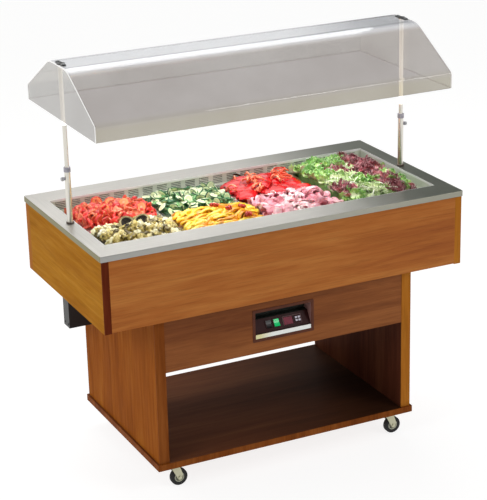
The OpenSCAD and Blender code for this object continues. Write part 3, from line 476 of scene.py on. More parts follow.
def base_wood():
    """Base board: brown edge, and a top with painted shade that gets darker to the right."""
    s = Shader("wood_base_board", Specular_IOR_Level=0.05)
    tone, _, fibre = wood_tones(s, "x", (88, 48, 26), (118, 68, 40), (146, 92, 56), 9.0)
    xyz = s.coords()
    top = s.above(s.axis(xyz, 2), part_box("base_board")[1].z - HAIR)
    # Painted shade: the bay floor darkens from the left towards the right.
    shade = s.span(s.axis(xyz, 0), -0.3, 0.42)
    bay_floor = s.mix(shade, s.mix(0.3, tone, srgb(88, 44, 22)), s.mix(0.85, tone, srgb(24, 12, 7)))
    s.set(Base_Color=s.mix(top, tone, bay_floor), Roughness=0.6)
    return s.bump(fibre, FIBRE_DEPTH)


def wheel_material():
    """Black tyre on a grey hub, told apart by the distance from the axle."""
    s = Shader("wheel_two_part")
    reach = s.length(s.facing())
    tyre = s.above(reach, HUB_SHARE)
    band = s.span(s.size(s.minus(reach, HUB_SHARE - 0.08)), 0.03, 0.06, 1.0, 0.0)
    grit = s.noise(s.coords(), 240, 3)
    hub = s.mix(band, s.mottle(grit, (128, 130, 112), (152, 152, 130)), srgb(176, 176, 156))
    black = s.mottle(grit, (13, 13, 14), (28, 27, 26))
    s.set(Base_Color=s.mix(tyre, hub, black), Roughness=s.span(tyre, 0, 1, 0.4, 0.75))
    return s.bump(grit, 0.0001)


def display_material():
    """Dark red window on the left of the thermostat's frame, which has a paler rim."""
    s = Shader("display_window", Specular_IOR_Level=0.15, Emission_Strength=1.0)
    place = s.facing()
    across, up = s.axis(place, 0), s.size(s.axis(place, 2))

    def inside(value, low, high):
        return s.times(s.above(value, low), s.below(value, high))

    window = s.times(inside(across, -0.89, 0.07), s.below(up, 0.75))
    field = s.times(inside(across, -0.94, 0.94), s.below(up, 0.88))
    cloud = s.noise(s.coords(), 40, 3)
    red = s.mottle(cloud, (78, 6, 24), (120, 14, 42))
    frame_tone = s.mix(field, srgb(104, 76, 76), srgb(46, 18, 20))
    s.set(Base_Color=s.mix(window, frame_tone, red), Roughness=s.span(window, 0, 1, 0.5, 0.3),
          Emission_Color=s.mix(window, BLACK, (0.035, 0.0, 0.006)))
    return s.mat


def housing_material():
    """Control recess: painted shade makes its back dark green-grey, brown bezel, painted light makes its
    right wall pale.
    """
    s = Shader("recess_moulding", Roughness=0.45, Specular_IOR_Level=0.15)
    low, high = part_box("control_housing")
    xyz = s.coords()
    cloud = s.noise(xyz, 22, 3)
    # Painted shade on the back and painted light on the right wall.
    back = s.mottle(cloud, (44, 48, 44), (58, 62, 57))
    side = s.mottle(cloud, (132, 92, 88), (160, 118, 112))
    bezel = s.mottle(cloud, (76, 38, 24), (92, 48, 30))
    lit_right_wall = s.above(s.axis(xyz, 0), high.x - BEZEL - 2.1 * HAIR)
    face = s.below(s.axis(xyz, 1), low.y + BEZEL_THICK + 0.1 * HAIR)
    s.set(Base_Color=s.mix(face, s.mix(lit_right_wall, back, side), bezel))
    return s.bump(s.noise(xyz, 900, 2), 0.00004)


def fin_material():
    """Thin dull fins of the two coils."""
    s = Shader("coil_fins", Metallic=1.0)
    cloud = s.noise(s.coords(), 30, 4)
    s.set(Base_Color=s.mottle(cloud, (160, 162, 163), (196, 198, 199)), Roughness=0.38)
    return s.bump(cloud, 0.0001, 0.4)


def foam_material():
    """Cream foam with open cells."""
    s = Shader("foam_cells", Roughness=0.9)
    cells = s.voronoi(s.coords(), 260)
    s.set(Base_Color=s.ramp(cells, (0.0, (214, 196, 142)), (0.8, (238, 224, 178))))
    return s.bump(cells, 0.0004, 0.6)


def dress(material, *names):
    """Gives one material to the named nodes, in each slot they have."""
    for name in names:
        slots = NODES[name].material_slots
        if not slots:
            NODES[name].data.materials.append(material)
        for slot in slots:
            slot.material = material


dress(rim_steel(), "rim_frame")
dress(plastic("louvre_steel", (222, 226, 212), 0.45, Metallic=0.25), "air_louvres", "pan_bars")
# The steel liner is painted near black as shade inside the well.
dress(plastic("liner_painted_shade", (36, 38, 36), 0.55, Metallic=0.3), "well_liner")
dress(foam_material(), "insulation")
dress(wood("wood_tank_long", "x", (136, 68, 28), (166, 96, 40), (191, 125, 60), seed=1.0),
      "tank_panel_front", "tank_panel_rear")
dress(wood("wood_tank_end", "y", (132, 78, 14), (160, 103, 20), (182, 126, 34), seed=2.0, gloss=0.5,
           sheen=MATT), "tank_panel_left", "tank_panel_right")
dress(edge_wood(), "edge_strips")
dress(wood("wood_inside", "x", (56, 28, 12), (80, 44, 20), (104, 62, 30), seed=4.0), "tank_floor",
      "bay_ceiling")
dress(pedestal_wood(), "pedestal_panel_left", "pedestal_panel_right")
dress(wood("wood_fascia_strip", "x", (96, 48, 20), (130, 74, 35), (160, 99, 52), seed=7.0), "fascia_front",
      "fascia_rear")
dress(base_wood(), "base_board")
dress(plastic("black_paint", (16, 16, 17), 0.42), "service_box", "compressor")
dress(housing_material(), "control_housing")
dress(plastic("recess_plate", (52, 20, 20), 0.45, Specular_IOR_Level=0.12), "control_plate")
dress(display_material(), "display")
dress(plastic("circuit_green", (22, 78, 40), 0.4), "control_board")
dress(fin_material(), "condenser", "evaporator")
dress(plastic("galvanised", (128, 131, 133), 0.35, Metallic=0.8), "fan_shroud")
dress(brushed("copper_tube", (206, 132, 92), 0.28, (200, 200, 8)), "pipework")
dress(brushed("post_tube_lower", (226, 222, 212), 0.3, TUBE_LINES), "lower_posts")
dress(upper_tube(), "upper_posts")
dress(ring_material(), "post_fittings")
dress(plastic("screw_steel", (150, 152, 154), 0.3, Metallic=0.7), "bracket_screws")
dress(plastic("caster_zinc", (196, 194, 166), 0.34, Metallic=0.6), "caster_plates",
      *["caster_fork_" + corner for corner in CORNERS])
dress(wheel_material(), *["caster_wheel_" + corner for corner in CORNERS])
dress(plastic("knob_grey", (186, 186, 190), 0.4), "knob_left", "knob_right")
dress(plastic("moulded_black", (22, 22, 23), 0.38), "top_brackets", "rocker_black",
      "condenser_fan", "evaporator_fan")
dress(plastic("lit_green", (20, 190, 110), 0.2, spread=0.2, Emission_Color=srgb(20, 200, 110),
              Emission_Strength=0.35), "rocker_green")
dress(plastic("key_grey", (206, 200, 214), 0.4), *["button_%d" % i for i in range(1, 5)])
pans = [name for name in NODES if name.startswith("pan_") and name != "pan_bars"]
dress(brushed("pan_satin", (206, 207, 206), 0.22, (60, 60, 60), 0.04), *pans)
dress(clear_sheet("canopy_clear", hood_smoke, hood_painted_glow, hood_edges), "canopy_hood")
dress(clear_sheet("canopy_end_clear", end_smoke, end_painted_glow, end_edges), "canopy_ends")


# ---- Mesh building ----------------------------------------------------------------


class Heap:
    """Collects closed pieces into one mesh, with each piece's own coordinates and tint."""

    def __init__(self, rng):
        self.rng = rng
        self.verts, self.faces, self.slots, self.own, self.tints = [], [], [], [], []

    def add(self, shape, matrix, slot=0):
        """Adds one closed piece, given as vertices, faces, own coordinates and a slot for each face."""
        verts, faces, own, slots = shape
        base = len(self.verts)
        self.verts += [matrix @ v for v in verts]
        self.own += own
        self.tints += [self.rng.random()] * len(verts)
        self.faces += [[base + i for i in face] for face in faces]
        self.slots += [slot + k for k in (slots or [0] * len(faces))]

    def build(self, name, body, materials):
        """Makes the mesh of all pieces so far, riding on one body."""
        mesh = bpy.data.meshes.new(name)
        mesh.from_pydata(self.verts, [], self.faces)
        own = mesh.attributes.new("local", "FLOAT_VECTOR", "POINT")
        own.data.foreach_set("vector", [c for v in self.own for c in v])
        tint = mesh.attributes.new("tint", "FLOAT", "POINT")
        tint.data.foreach_set("value", self.tints)
        for material in materials:
            mesh.materials.append(material)
        mesh.polygons.foreach_set("material_index", self.slots)
        mesh.polygons.foreach_set("use_smooth", [True] * len(mesh.polygons))
        mesh.update()
        obj = bpy.data.objects.new(name, mesh)
        bpy.context.scene.collection.objects.link(obj)
        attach(obj, body)
        return obj


def cell(at, i, j, *side):
    """One face of a grid whose points at(i, j) numbers; a corner that comes twice counts once."""
    corners = (i, j), (i + 1, j), (i + 1, j + 1), (i, j + 1)
    return list(dict.fromkeys(at(*corner, *side) for corner in corners))


def patch(surface, nu, nv, thick, closed=False):
    """Sheet of some thickness over surface(u, v), u and v from 0 to 1; closed joins u 1 to u 0."""
    rows = nu if closed else nu + 1
    mid = [[surface(i / nu, j / nv) for j in range(nv + 1)] for i in range(rows)]

    def normal(i, j):
        i0, i1 = (i - 1, (i + 1) % rows) if closed else (max(i - 1, 0), min(i + 1, rows - 1))
        j0, j1 = max(j - 1, 0), min(j + 1, nv)
        n = (mid[i1][j] - mid[i0][j]).cross(mid[i][j1] - mid[i][j0])
        return n.normalized() if n.length > 1e-12 else Vector((0, 0, 1))

    verts, own, faces = [], [], []
    for side in (0.5, -0.5):
        for i in range(rows):
            for j in range(nv + 1):
                t = thick(i / nu, j / nv) if callable(thick) else thick
                verts.append(mid[i][j] + normal(i, j) * t * side)
                own.append(Vector((i / nu, j / nv, side)))
    layer = rows * (nv + 1)

    def at(i, j, side=0):
        return side * layer + (i % rows) * (nv + 1) + j

    for i in range(nu):
        for j in range(nv):
            faces.append(cell(at, i, j))
            faces.append(cell(at, i, j, 1)[::-1])
        for j in (0, nv):
            quad = [at(i, j), at(i + 1, j), at(i + 1, j, 1), at(i, j, 1)]
            faces.append(quad if j else quad[::-1])
    if not closed:
        for j in range(nv):
            for i in (0, nu):
                quad = [at(i, j), at(i, j + 1), at(i, j + 1, 1), at(i, j, 1)]
                faces.append(quad[::-1] if i else quad)
    return verts, faces, own, None


def strip(rng, length, width, thick, curl, twist=0.0, wave=0.0):
    """Bent ribbon with a crowned section, such as a slice of pepper."""
    turn = length / curl
    phase = rng.uniform(0, 6)

    def surface(u, v):
        a = (u - 0.5) * turn
        w = (v - 0.5) * width * (0.55 + 0.45 * math.sin(math.pi * min(max(u, 0.04), 0.96)) ** 0.5)
        crown = thick * 1.2 * (1 - (2 * v - 1) ** 2)
        r = curl + crown + wave * math.sin(u * 7 + phase)
        tw = twist * (u - 0.5)
        x = r * math.sin(a) + w * math.sin(tw) * math.cos(a)
        return Vector((x, w * math.cos(tw), r * math.cos(a) - curl))

    return patch(surface, max(8, int(turn * 6)), 4, thick)


def ring(rng, radius, width, thick, lobes=3):
    """Closed lobed ring cut across a pepper."""
    phase = rng.uniform(0, 6)

    def surface(u, v):
        a = u * 2 * math.pi
        r = radius * (1 + 0.14 * math.cos(lobes * a + phase))
        z = (v - 0.5) * width + 0.12 * radius * math.sin(2 * a + phase)
        return Vector((r * math.cos(a), r * math.sin(a), z))

    return patch(surface, 30, 3, thick, closed=True)


def leaf(rng, length, width, ruffle, cup, folds=5, thick=0.0009):
    """Curly leaf: flat at the rib, ruffled towards its edges."""
    p = [rng.uniform(0, 6.28) for _ in range(4)]
    bend = rng.uniform(-0.9, 1.4)
    lean = rng.uniform(-0.5, 0.5)

    def surface(u, v):
        side = 2 * v - 1
        half = width / 2 * math.sin(math.pi * (0.1 + 0.84 * u)) ** 0.6 * (1 + 0.12 * math.sin(9 * u + p[0]))
        edge = abs(side) ** 1.6 * (0.35 + 0.65 * u)
        x = (u - 0.5) * length
        y = side * half * (1 + lean * 0.3 * u)
        waves = math.sin(folds * 6.28 * u + p[1] + side) + 0.6 * math.sin(folds * 11 * u + p[2])
        z = cup * half * side * side + ruffle * edge * waves
        y += ruffle * 0.7 * edge * math.sin(folds * 7.5 * u + p[3]) * (1 if side > 0 else -1)
        end = ruffle * max(0.0, u - 0.7) * 3 * math.sin(9 * side + p[2])
        a = bend * (u - 0.5)
        return Vector((x * math.cos(a * 0.5), y, z + end + math.sin(a) * length * 0.25 * (u - 0.2)))

    return patch(surface, 20, 12, thick)


def slice_disc(rng, radius, thick, bend=0.0):
    """Round slice: flesh on both faces, rind on the rim."""
    n = 26
    rings = ((0.0, 1.0), (0.35, 1.0), (0.68, 1.0), (0.9, 0.86), (1.0, 0.35))    # radius, thickness
    last = len(rings) - 1
    egg = rng.uniform(0.88, 1.0)
    verts, own, faces, slots = [], [], [], []
    for side in (1, -1):
        for k, (share, height) in enumerate(rings):
            for i in range(n if k else 1):
                a = 2 * math.pi * i / n
                x, y = share * math.cos(a), share * math.sin(a) * egg
                z = side * thick / 2 * height
                verts.append(Vector((x * radius, y * radius, z + bend * radius * x * x)))
                own.append(Vector((x, y, side * 0.5)))
    layer = 1 + last * n

    def at(k, i, side):
        return side * layer + (0 if k == 0 else 1 + (k - 1) * n + i % n)

    for side in (0, 1):
        for i in range(n):
            for k in range(last):
                face = cell(at, k, i, side)
                faces.append(face[::-1] if side else face)
                slots.append(1 if k == last - 1 else 0)
    for i in range(n):
        faces.append([at(last, i, 0), at(last, i, 1), at(last, i + 1, 1), at(last, i + 1, 0)])
        slots.append(1)
    return verts, faces, own, slots


def wedge(rng, radius, angle):
    """Wedge of a tomato: skin outside, two cut faces with seed chambers."""
    nl, nf, nr = 7, 14, 6       # steps across the skin, from foot to top, and from core to skin
    squash = rng.uniform(0.8, 0.95)
    verts, own, faces, slots = [], [], [], []
    lats = [math.pi * (j / nf - 0.5) for j in range(nf + 1)]
    index = {}

    def point(r, lat, lon):
        flat = r * math.cos(lat)
        return Vector((flat * math.cos(lon), flat * math.sin(lon), r * math.sin(lat) * squash))

    def vert(key, place, share):
        if key not in index:
            index[key] = len(verts)
            verts.append(place)
            own.append(Vector(share))
        return index[key]

    def skin(i, j):
        if j in (0, nf):
            i = 0
        lon = angle * (i / nl - 0.5)
        return vert(("skin", i, j), point(radius, lats[j], lon), (1, j / nf, i / nl))

    def cut(k, j, side):
        if k == nr or j in (0, nf) and k > 0:
            return skin(nl if side else 0, j)
        if k == 0:
            core = Vector((radius * 0.1, 0, radius * squash * math.sin(lats[j]) * 0.96))
            return vert(("core", j), core, (0, j / nf, side))
        share, lat = k / nr, lats[j]
        hollow = math.exp(-((share - 0.62) ** 2) / 0.02 - ((abs(lat) - 0.55) ** 2) / 0.12)
        lon = angle * (side - 0.5) * (1 - 0.42 * hollow)
        return vert(("cut", side, k, j), point(radius * share, lat, lon), (share, j / nf, side + 0.5))

    def close(face, slot):
        if len(face) > 2:
            faces.append(face)
            slots.append(slot)

    for j in range(nf):
        for i in range(nl):
            close(cell(skin, i, j), 0)
        for side in (0, 1):
            for k in range(nr):
                face = cell(cut, k, j, side)
                close(face[::-1] if side else face, 1)
    return [v - Vector((radius * 0.55, 0, 0)) for v in verts], faces, own, slots


def blob(rng, size, lumps=0.22, freq=3.0, ridges=0):
    """Lumpy rounded piece."""
    nu, nv = 18, 12
    off = Vector((rng.uniform(0, 50), rng.uniform(0, 50), 0))
    verts, own = [], []
    for j in range(nv + 1):
        lat = math.pi * (j / nv - 0.5)
        for i in range(nu if 0 < j < nv else 1):
            lon = 2 * math.pi * i / nu
            d = Vector((math.cos(lat) * math.cos(lon), math.cos(lat) * math.sin(lon), math.sin(lat)))
            r = 1 + lumps * noise.noise(d * freq * 0.5 + off) * 2
            if ridges:
                r *= 1 + 0.09 * abs(math.sin(ridges * lon + 3 * lat))
            verts.append(Vector((d.x * size[0], d.y * size[1], d.z * size[2])) * r)
            own.append(d.copy())

    def at(i, j):
        if j in (0, nv):
            return 0 if j == 0 else 1 + (nv - 1) * nu
        return 1 + (j - 1) * nu + i % nu

    faces = [cell(at, i, j) for j in range(nv) for i in range(nu)]
    return verts, faces, own, None


def cap(rng, radius):
    """Mushroom cap lying gills up: a dished disc with a curled rim."""
    phase = rng.uniform(0, 6)

    def surface(u, v):
        a = u * 2 * math.pi
        r = radius * v * (1 + 0.06 * math.sin(3 * a + phase))
        z = radius * (0.5 * v ** 3 - 0.12 * math.cos(v * 2))
        gill = 0.02 * radius * math.sin(a * 22) * math.sin(math.pi * v)
        return Vector((r * math.cos(a), r * math.sin(a), z + gill))

    return patch(surface, 88, 6, lambda u, v: radius * (0.18 - 0.1 * v), closed=True)


# ---- Food -------------------------------------------------------------------------


def food(name, *tones, rough=0.3, scale=120, coat=0.35, soft=0.0, depth=0.0003, spread=0.35, **more):
    """Moist food: a ramp of tones over noise, shifted a little for each piece."""
    s = Shader(name, Coat_Weight=coat, Coat_Roughness=0.12, **more)
    n = s.noise(s.coords(), scale, 4, 0.6)
    value = s.plus(n, s.times(s.minus(s.tint(), 0.5), spread))
    stops = [(0.25 + 0.5 * i / (len(tones) - 1), tone) for i, tone in enumerate(tones)]
    s.set(Base_Color=s.ramp(value, *stops), Roughness=s.span(n, 0.3, 0.7, rough - 0.06, rough + 0.08))
    if soft:
        s.set(Subsurface_Weight=soft, Subsurface_Radius=(0.004, 0.002, 0.001), Subsurface_Scale=1.0)
    return s.bump(s.noise(s.coords(), 160, 3), depth, 0.6)


def cucumber_flesh():
    """Pale ringed flesh with seeds round its middle."""
    s = Shader("cucumber_flesh", Roughness=0.28, Coat_Weight=0.4, Coat_Roughness=0.1)
    flat = s.local((1, 1, 0))
    reach = s.length(flat)
    n = s.noise(flat, 6, 4, 0.6)
    seeds = s.voronoi(flat, 5.5)
    ringed = s.ramp(reach, (0.0, (236, 240, 208)), (0.5, (208, 216, 160)), (0.72, (232, 236, 204)),
                    (0.9, (204, 222, 156)))
    core = s.times(s.below(reach, 0.55), s.span(seeds, 0.1, 0.4, 0.6, 0.0))
    tone = s.mix(core, ringed, srgb(204, 218, 160))
    s.set(Base_Color=s.mix(s.span(n, 0.3, 0.7, 0.0, 0.3), tone, srgb(214, 226, 176)))
    return s.bump(seeds, 0.0005)


def gill_material():
    """Dark gills round the middle of a cap, pale skin on its rim and below."""
    s = Shader("mushroom_gills", Roughness=0.6)
    uv = s.local()
    u, v = s.axis(uv, 0), s.axis(uv, 1)
    wave = s.maths("SINE", s.times(u, 2 * math.pi * 44))
    dark = s.ramp(s.span(wave, -1, 1), (0.0, (22, 18, 14)), (1.0, (62, 52, 40)))
    skin = s.mottle(s.noise(s.coords(), 90, 3), (150, 134, 92), (196, 182, 136))
    below = s.above(s.axis(uv, 2), 0.0)
    rim = s.most(s.above(v, 0.86), below)
    s.set(Base_Color=s.mix(rim, dark, skin))
    return s.bump(wave, 0.0003)


def leaf_material(name, rib, body, edge, rough=0.35):
    """Leaf tones from the pale rib through the blade to the edge, with veins."""
    s = Shader(name, Coat_Weight=0.2, Coat_Roughness=0.2)
    uv = s.local()
    u, v = s.axis(uv, 0), s.axis(uv, 1)
    side = s.size(s.minus(s.times(v, 2.0), 1.0))
    n = s.noise(s.coords(), 110, 4, 0.6)
    along = s.plus(s.times(side, 0.62), s.times(u, 0.38))
    value = s.plus(along, s.times(s.minus(n, 0.5), 0.7))
    value = s.plus(value, s.times(s.minus(s.tint(), 0.5), 0.4))
    tone = s.ramp(value, (0.1, rib), (0.42, body), (0.82, edge))
    veins = s.noise(s.local((14, 5, 0)), 1.0, 3, 0.5, 1.5)
    s.set(Base_Color=s.mix(s.span(veins, 0.48, 0.56, 0.0, 0.35), tone, srgb(*rib)), Roughness=rough)
    return s.bump(veins, 0.0006, 0.7)


def tomato_slice():
    """Orange-red flesh with pale seeds, redder at the rim."""
    s = Shader("tomato_slice", Roughness=0.3, Coat_Weight=0.25, Coat_Roughness=0.1)
    flat = s.local((1, 1, 0))
    reach = s.length(flat)
    seeds = s.voronoi(flat, 7)
    tone = s.ramp(reach, (0.0, (250, 196, 160)), (0.3, (244, 132, 72)), (0.7, (248, 150, 84)),
                  (0.86, (232, 60, 40)))
    s.set(Base_Color=s.mix(s.span(seeds, 0.1, 0.35, 0.5, 0.0), tone, srgb(252, 206, 120)))
    return s.bump(seeds, 0.0008, 0.6)


def face_viewer(rng, spread):
    """Turns a flat piece up and towards the serving side at the front left."""
    lean_back = Matrix.Rotation(0.6 + rng.gauss(0, spread), 4, "X")
    lean_left = Matrix.Rotation(-0.25 + rng.gauss(0, spread), 4, "Y")
    return lean_back @ lean_left @ Matrix.Rotation(rng.uniform(0, 2 * math.pi), 4, "Z")


def random_turn(rng, tilt):
    """Any turn about the upright, then a lean of about the tilt in any direction."""
    axis = Vector((rng.uniform(-1, 1), rng.uniform(-1, 1), 0.001)).normalized()
    lean = Matrix.Rotation(rng.gauss(0, tilt), 4, axis)
    return lean @ Matrix.Rotation(rng.uniform(0, 2 * math.pi), 4, "Z")


SQUARENESS = 7          # exponent of the bed's outline: 2 is an ellipse, more is squarer
BED_DEPTH = 0.055


class Tray:
    """One pan's heap of food: where it may lie and how high it is piled."""

    def __init__(self, node, peak, fill, seed, flat=3.2):
        low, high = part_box(node)
        self.body = "tray" + node.removeprefix("pan")
        self.mid = Vector(((low.x + high.x) / 2, (low.y + high.y) / 2, high.z))
        self.hx, self.hy = (high.x - low.x) / 2 - HAIR / 2, (high.y - low.y) / 2 - HAIR / 2
        self.in_x, self.in_y = self.hx - FLANGE, self.hy - FLANGE
        self.peak, self.fill, self.flat = peak, fill, flat
        self.rng = random.Random(seed)
        self.heap = Heap(self.rng)

    def draw(self, low, high):
        return self.rng.uniform(low, high)

    def height(self, x, y):
        """Height of the heap above the pan's flange at a place from the pan's middle."""
        reach = (abs(x / self.hx) ** 4 + abs(y / self.hy) ** 4) ** 0.25
        dome = max(0.0, 1 - reach ** self.flat)
        lump = noise.noise(Vector((x * 16 + self.mid.x * 9, y * 16, self.mid.y * 30)))
        return self.fill + self.peak * dome + 0.014 * lump * min(1.0, 2.5 * (1 - reach) + 0.1)

    def add(self, shape, x, y, lift=0.0, tilt=0.4, turn=None, slot=0):
        """Lays a piece on the heap, pressed in where it would pass the pan's edge or enter its flange."""
        verts, faces, own, slots = shape
        turn = turn or random_turn(self.rng, tilt)
        matrix = Matrix.Translation((x, y, self.height(x, y) + lift)) @ turn
        out = []
        for v in verts:
            v = matrix @ v
            v.x = max(-self.hx, min(self.hx, v.x))
            v.y = max(-self.hy, min(self.hy, v.y))
            if abs(v.x) > self.in_x or abs(v.y) > self.in_y:
                v.z = max(v.z, 0.8 * HAIR)
            out.append(v)
        self.heap.add((out, faces, own, slots), Matrix.Translation(self.mid), slot)

    def spots(self, count, inset):
        """Places spread evenly over the pan, each moved a little."""
        w, l = 2 * (self.hx - inset), 2 * (self.hy - inset)
        step = math.sqrt(w * l / count)
        nx, ny = max(1, round(w / step)), max(1, round(l / step))
        out = []
        for i in range(nx):
            for j in range(ny):
                x = -w / 2 + w * (i + self.draw(0.15, 0.85)) / nx
                y = -l / 2 + l * (j + self.draw(0.15, 0.85)) / ny
                out.append((x, y))
        self.rng.shuffle(out)
        return out

    def scatter(self, count, inset, make, lift, tilt, slot=0):
        """Strews pieces from make() over the heap, lifted by a draw between two heights."""
        for x, y in self.spots(count, inset):
            self.add(make(), x, y, lift=self.draw(*lift), tilt=tilt, slot=slot)

    def bed(self, slot):
        """The bulk of the food under the loose pieces, within the pan's walls."""
        n, rings = 48, 12

        def outline(i, share, inset):
            """Place on a squarish ring, by its number out of n and its share of the pan."""
            a = 2 * math.pi * i / n
            c, s = math.cos(a), math.sin(a)
            hx, hy = self.in_x - inset, self.in_y - inset
            k = (abs(c / hx) ** SQUARENESS + abs(s / hy) ** SQUARENESS) ** (-1 / SQUARENESS)
            return c * k * share, s * k * share

        verts = [Vector((0, 0, self.height(0, 0)))]
        for k in range(1, rings + 1):
            for i in range(n):
                x, y = outline(i, k / rings, 0.002)
                verts.append(Vector((x, y, self.height(x, y))))
        for i in range(n):
            verts.append(Vector((*outline(i, 1, 0.008), -BED_DEPTH)))
        verts.append(Vector((0, 0, -BED_DEPTH)))

        def at(k, i):
            return 0 if k == 0 else min(1 + (k - 1) * n + i % n, len(verts) - 1)

        faces = [cell(at, k, i) for i in range(n) for k in range(rings + 2)]
        own = [v.copy() for v in verts]
        self.heap.add((verts, faces, own, None), Matrix.Translation(self.mid), slot)

    def done(self, name, materials):
        self.heap.build(name, self.body, materials)


def tomatoes():
    """Wedges and cut strips with a few whole slices on top."""
    t = Tray("pan_1_rear", peak=0.02, fill=-0.004, seed=11)
    t.bed(2)
    t.scatter(78, 0.016, lambda: wedge(t.rng, t.draw(0.023, 0.029), t.draw(0.9, 1.5)),
              lift=(0.0, 0.01), tilt=1.6)
    for x, y in t.spots(84, inset=0.018):
        piece = strip(t.rng, length=t.draw(0.035, 0.055), width=t.draw(0.009, 0.014), thick=0.004,
                      curl=t.draw(0.012, 0.02), twist=t.draw(-0.8, 0.8), wave=0.002)
        t.add(piece, x, y, lift=t.draw(0.006, 0.018), tilt=1.0, slot=t.rng.choice((0, 1, 1)))
    for x, y in ((-0.02, 0.105), (-0.035, -0.02), (0.06, 0.02), (0.02, 0.06), (0.1, -0.06)):
        piece = slice_disc(t.rng, t.draw(0.022, 0.026), t.draw(0.006, 0.009), 0.05)
        t.add(piece, x, y, lift=t.draw(0.016, 0.022), turn=face_viewer(t.rng, 0.3), slot=3)
    skin = food("tomato_skin", (196, 16, 18), (226, 34, 28), (238, 66, 44),
                scale=30, coat=0.3, depth=0.0001)
    flesh = food("tomato_flesh", (206, 40, 26), (224, 78, 46), (240, 150, 104), (222, 58, 38),
                 rough=0.35, scale=130, coat=0.2, depth=0.0006)
    under = food("tomato_under", (150, 16, 14), (198, 34, 24), rough=0.4, scale=80)
    t.done("food_tomatoes", [skin, flesh, under, tomato_slice(), skin])     # the last is the slices' rind


def artichokes():
    """Cut hearts and mushrooms, two caps with their gills up, one long white strip."""
    t = Tray("pan_1_front", peak=0.024, fill=0.0, seed=12)
    t.bed(2)
    for x, y in t.spots(104, inset=0.014):
        size = t.draw(0.011, 0.018)
        piece = blob(t.rng, (size * 1.3, size, size * 0.8), 0.34, 4.5, t.rng.choice((0, 3, 4)))
        t.add(piece, x, y, lift=t.draw(-0.004, 0.008), tilt=0.9)
    t.scatter(26, 0.03, lambda: strip(t.rng, length=t.draw(0.03, 0.045), width=0.018, thick=0.003,
                                      curl=t.draw(0.02, 0.03), twist=0.3), lift=(0.008, 0.014), tilt=0.8)
    for x, y, r in ((-0.034, 0.03, 0.024), (0.034, 0.044, 0.025)):
        t.add(cap(t.rng, r), x, y, lift=0.016, turn=face_viewer(t.rng, 0.08), slot=1)
    piece = strip(t.rng, length=0.085, width=0.024, thick=0.004, curl=0.09, twist=0.3)
    slant = Matrix.Rotation(0.82, 4, "Z") @ Matrix.Rotation(-0.4, 4, "X")
    t.add(piece, -0.122, 0.05, lift=0.014, turn=slant, slot=3)
    olive = food("artichoke_flesh", (96, 80, 28), (182, 160, 74), (226, 206, 128), (246, 238, 196),
                 rough=0.35, scale=90, spread=0.75, depth=0.0005, coat=0.15)
    # Painted shade: the bed between the pieces is dark brown.
    under = food("artichoke_under_shade", (58, 46, 20), (104, 86, 42), rough=0.5, scale=80, coat=0.0)
    white = food("artichoke_white", (226, 222, 204), (246, 244, 234), rough=0.35)
    t.done("food_artichokes", [olive, gill_material(), under, white])


def cucumbers():
    """Slices at all angles over small green chunks."""
    t = Tray("pan_2_rear", peak=0.016, fill=-0.002, seed=13)
    t.bed(2)
    for x, y in t.spots(40, inset=0.016):
        size = t.draw(0.01, 0.016)
        piece = blob(t.rng, (size * 1.5, size, size * 0.7), 0.3, 4.0, 4)
        t.add(piece, x, y, lift=0.0, tilt=0.7, slot=3)
    t.scatter(96, 0.017, lambda: slice_disc(t.rng, t.draw(0.0165, 0.0215), t.draw(0.003, 0.007),
                                            t.draw(-0.12, 0.12)), lift=(0.002, 0.014), tilt=0.95)
    rind = food("cucumber_rind", (16, 60, 34), (34, 98, 54), (84, 146, 82), scale=60, spread=0.3)
    under = food("cucumber_under", (24, 66, 42), (64, 118, 70), (120, 166, 104), rough=0.45, scale=50)
    green = food("cucumber_chunks", (36, 92, 52), (86, 146, 84), (150, 196, 128),
                 rough=0.35, scale=70, spread=0.6)
    t.done("food_cucumbers", [cucumber_flesh(), rind, under, green])


def yellow_peppers():
    """Long strips lying mostly across the pan, with four heaps of red bits."""
    t = Tray("pan_2_front", peak=0.028, fill=0.0, seed=14)
    t.bed(2)
    for x, y in t.spots(110, inset=0.02):
        piece = strip(t.rng, length=t.draw(0.06, 0.1), width=t.draw(0.015, 0.023), thick=0.0045,
                      curl=t.draw(0.035, 0.08), twist=t.draw(-0.8, 0.8), wave=0.002)
        turn = Matrix.Rotation(t.rng.gauss(0.12, 0.4), 4, "Z")
        roll = Matrix.Rotation(t.rng.gauss(0, 0.45), 4, "X")
        t.add(piece, x, y, lift=t.draw(0.0, 0.012), turn=turn @ roll)
    for cx, cy in ((0.003, 0.046), (0.03, -0.022), (0.094, -0.006), (0.08, -0.096)):
        for _ in range(6):
            x, y = cx + t.draw(-0.009, 0.009), cy + t.draw(-0.009, 0.009)
            t.add(blob(t.rng, (0.008, 0.006, 0.006), 0.4, 6.0), x, y, lift=0.022, tilt=0.6, slot=1)
    yellow = food("yellow_pepper", (232, 140, 0), (248, 180, 0), (252, 204, 20), (254, 226, 90),
                  scale=50, coat=0.25, spread=0.55, depth=0.0002)
    red = food("red_bits", (170, 20, 14), (222, 60, 34), rough=0.25, coat=0.6)
    under = food("yellow_under", (236, 150, 0), (250, 196, 16), rough=0.4, coat=0.0)
    t.done("food_yellow_peppers", [yellow, red, under])


def pepper_panel(rng, length, width, arch):
    """Large curved piece cut from the side of a pepper."""
    phase = rng.uniform(0, 6)

    def surface(u, v):
        a = (v - 0.5) * arch
        half = 0.62 + 0.38 * math.sin(math.pi * (0.12 + 0.8 * u))
        r = width / arch * (1 + 0.05 * math.sin(2.5 * math.pi * v + phase))
        x = (u - 0.5) * length
        end = -0.22 * length * abs(2 * u - 1) ** 3
        return Vector((x, r * math.sin(a) * half, r * (math.cos(a) - 1) * half + end * 0.6))

    return patch(surface, 16, 12, 0.0045)


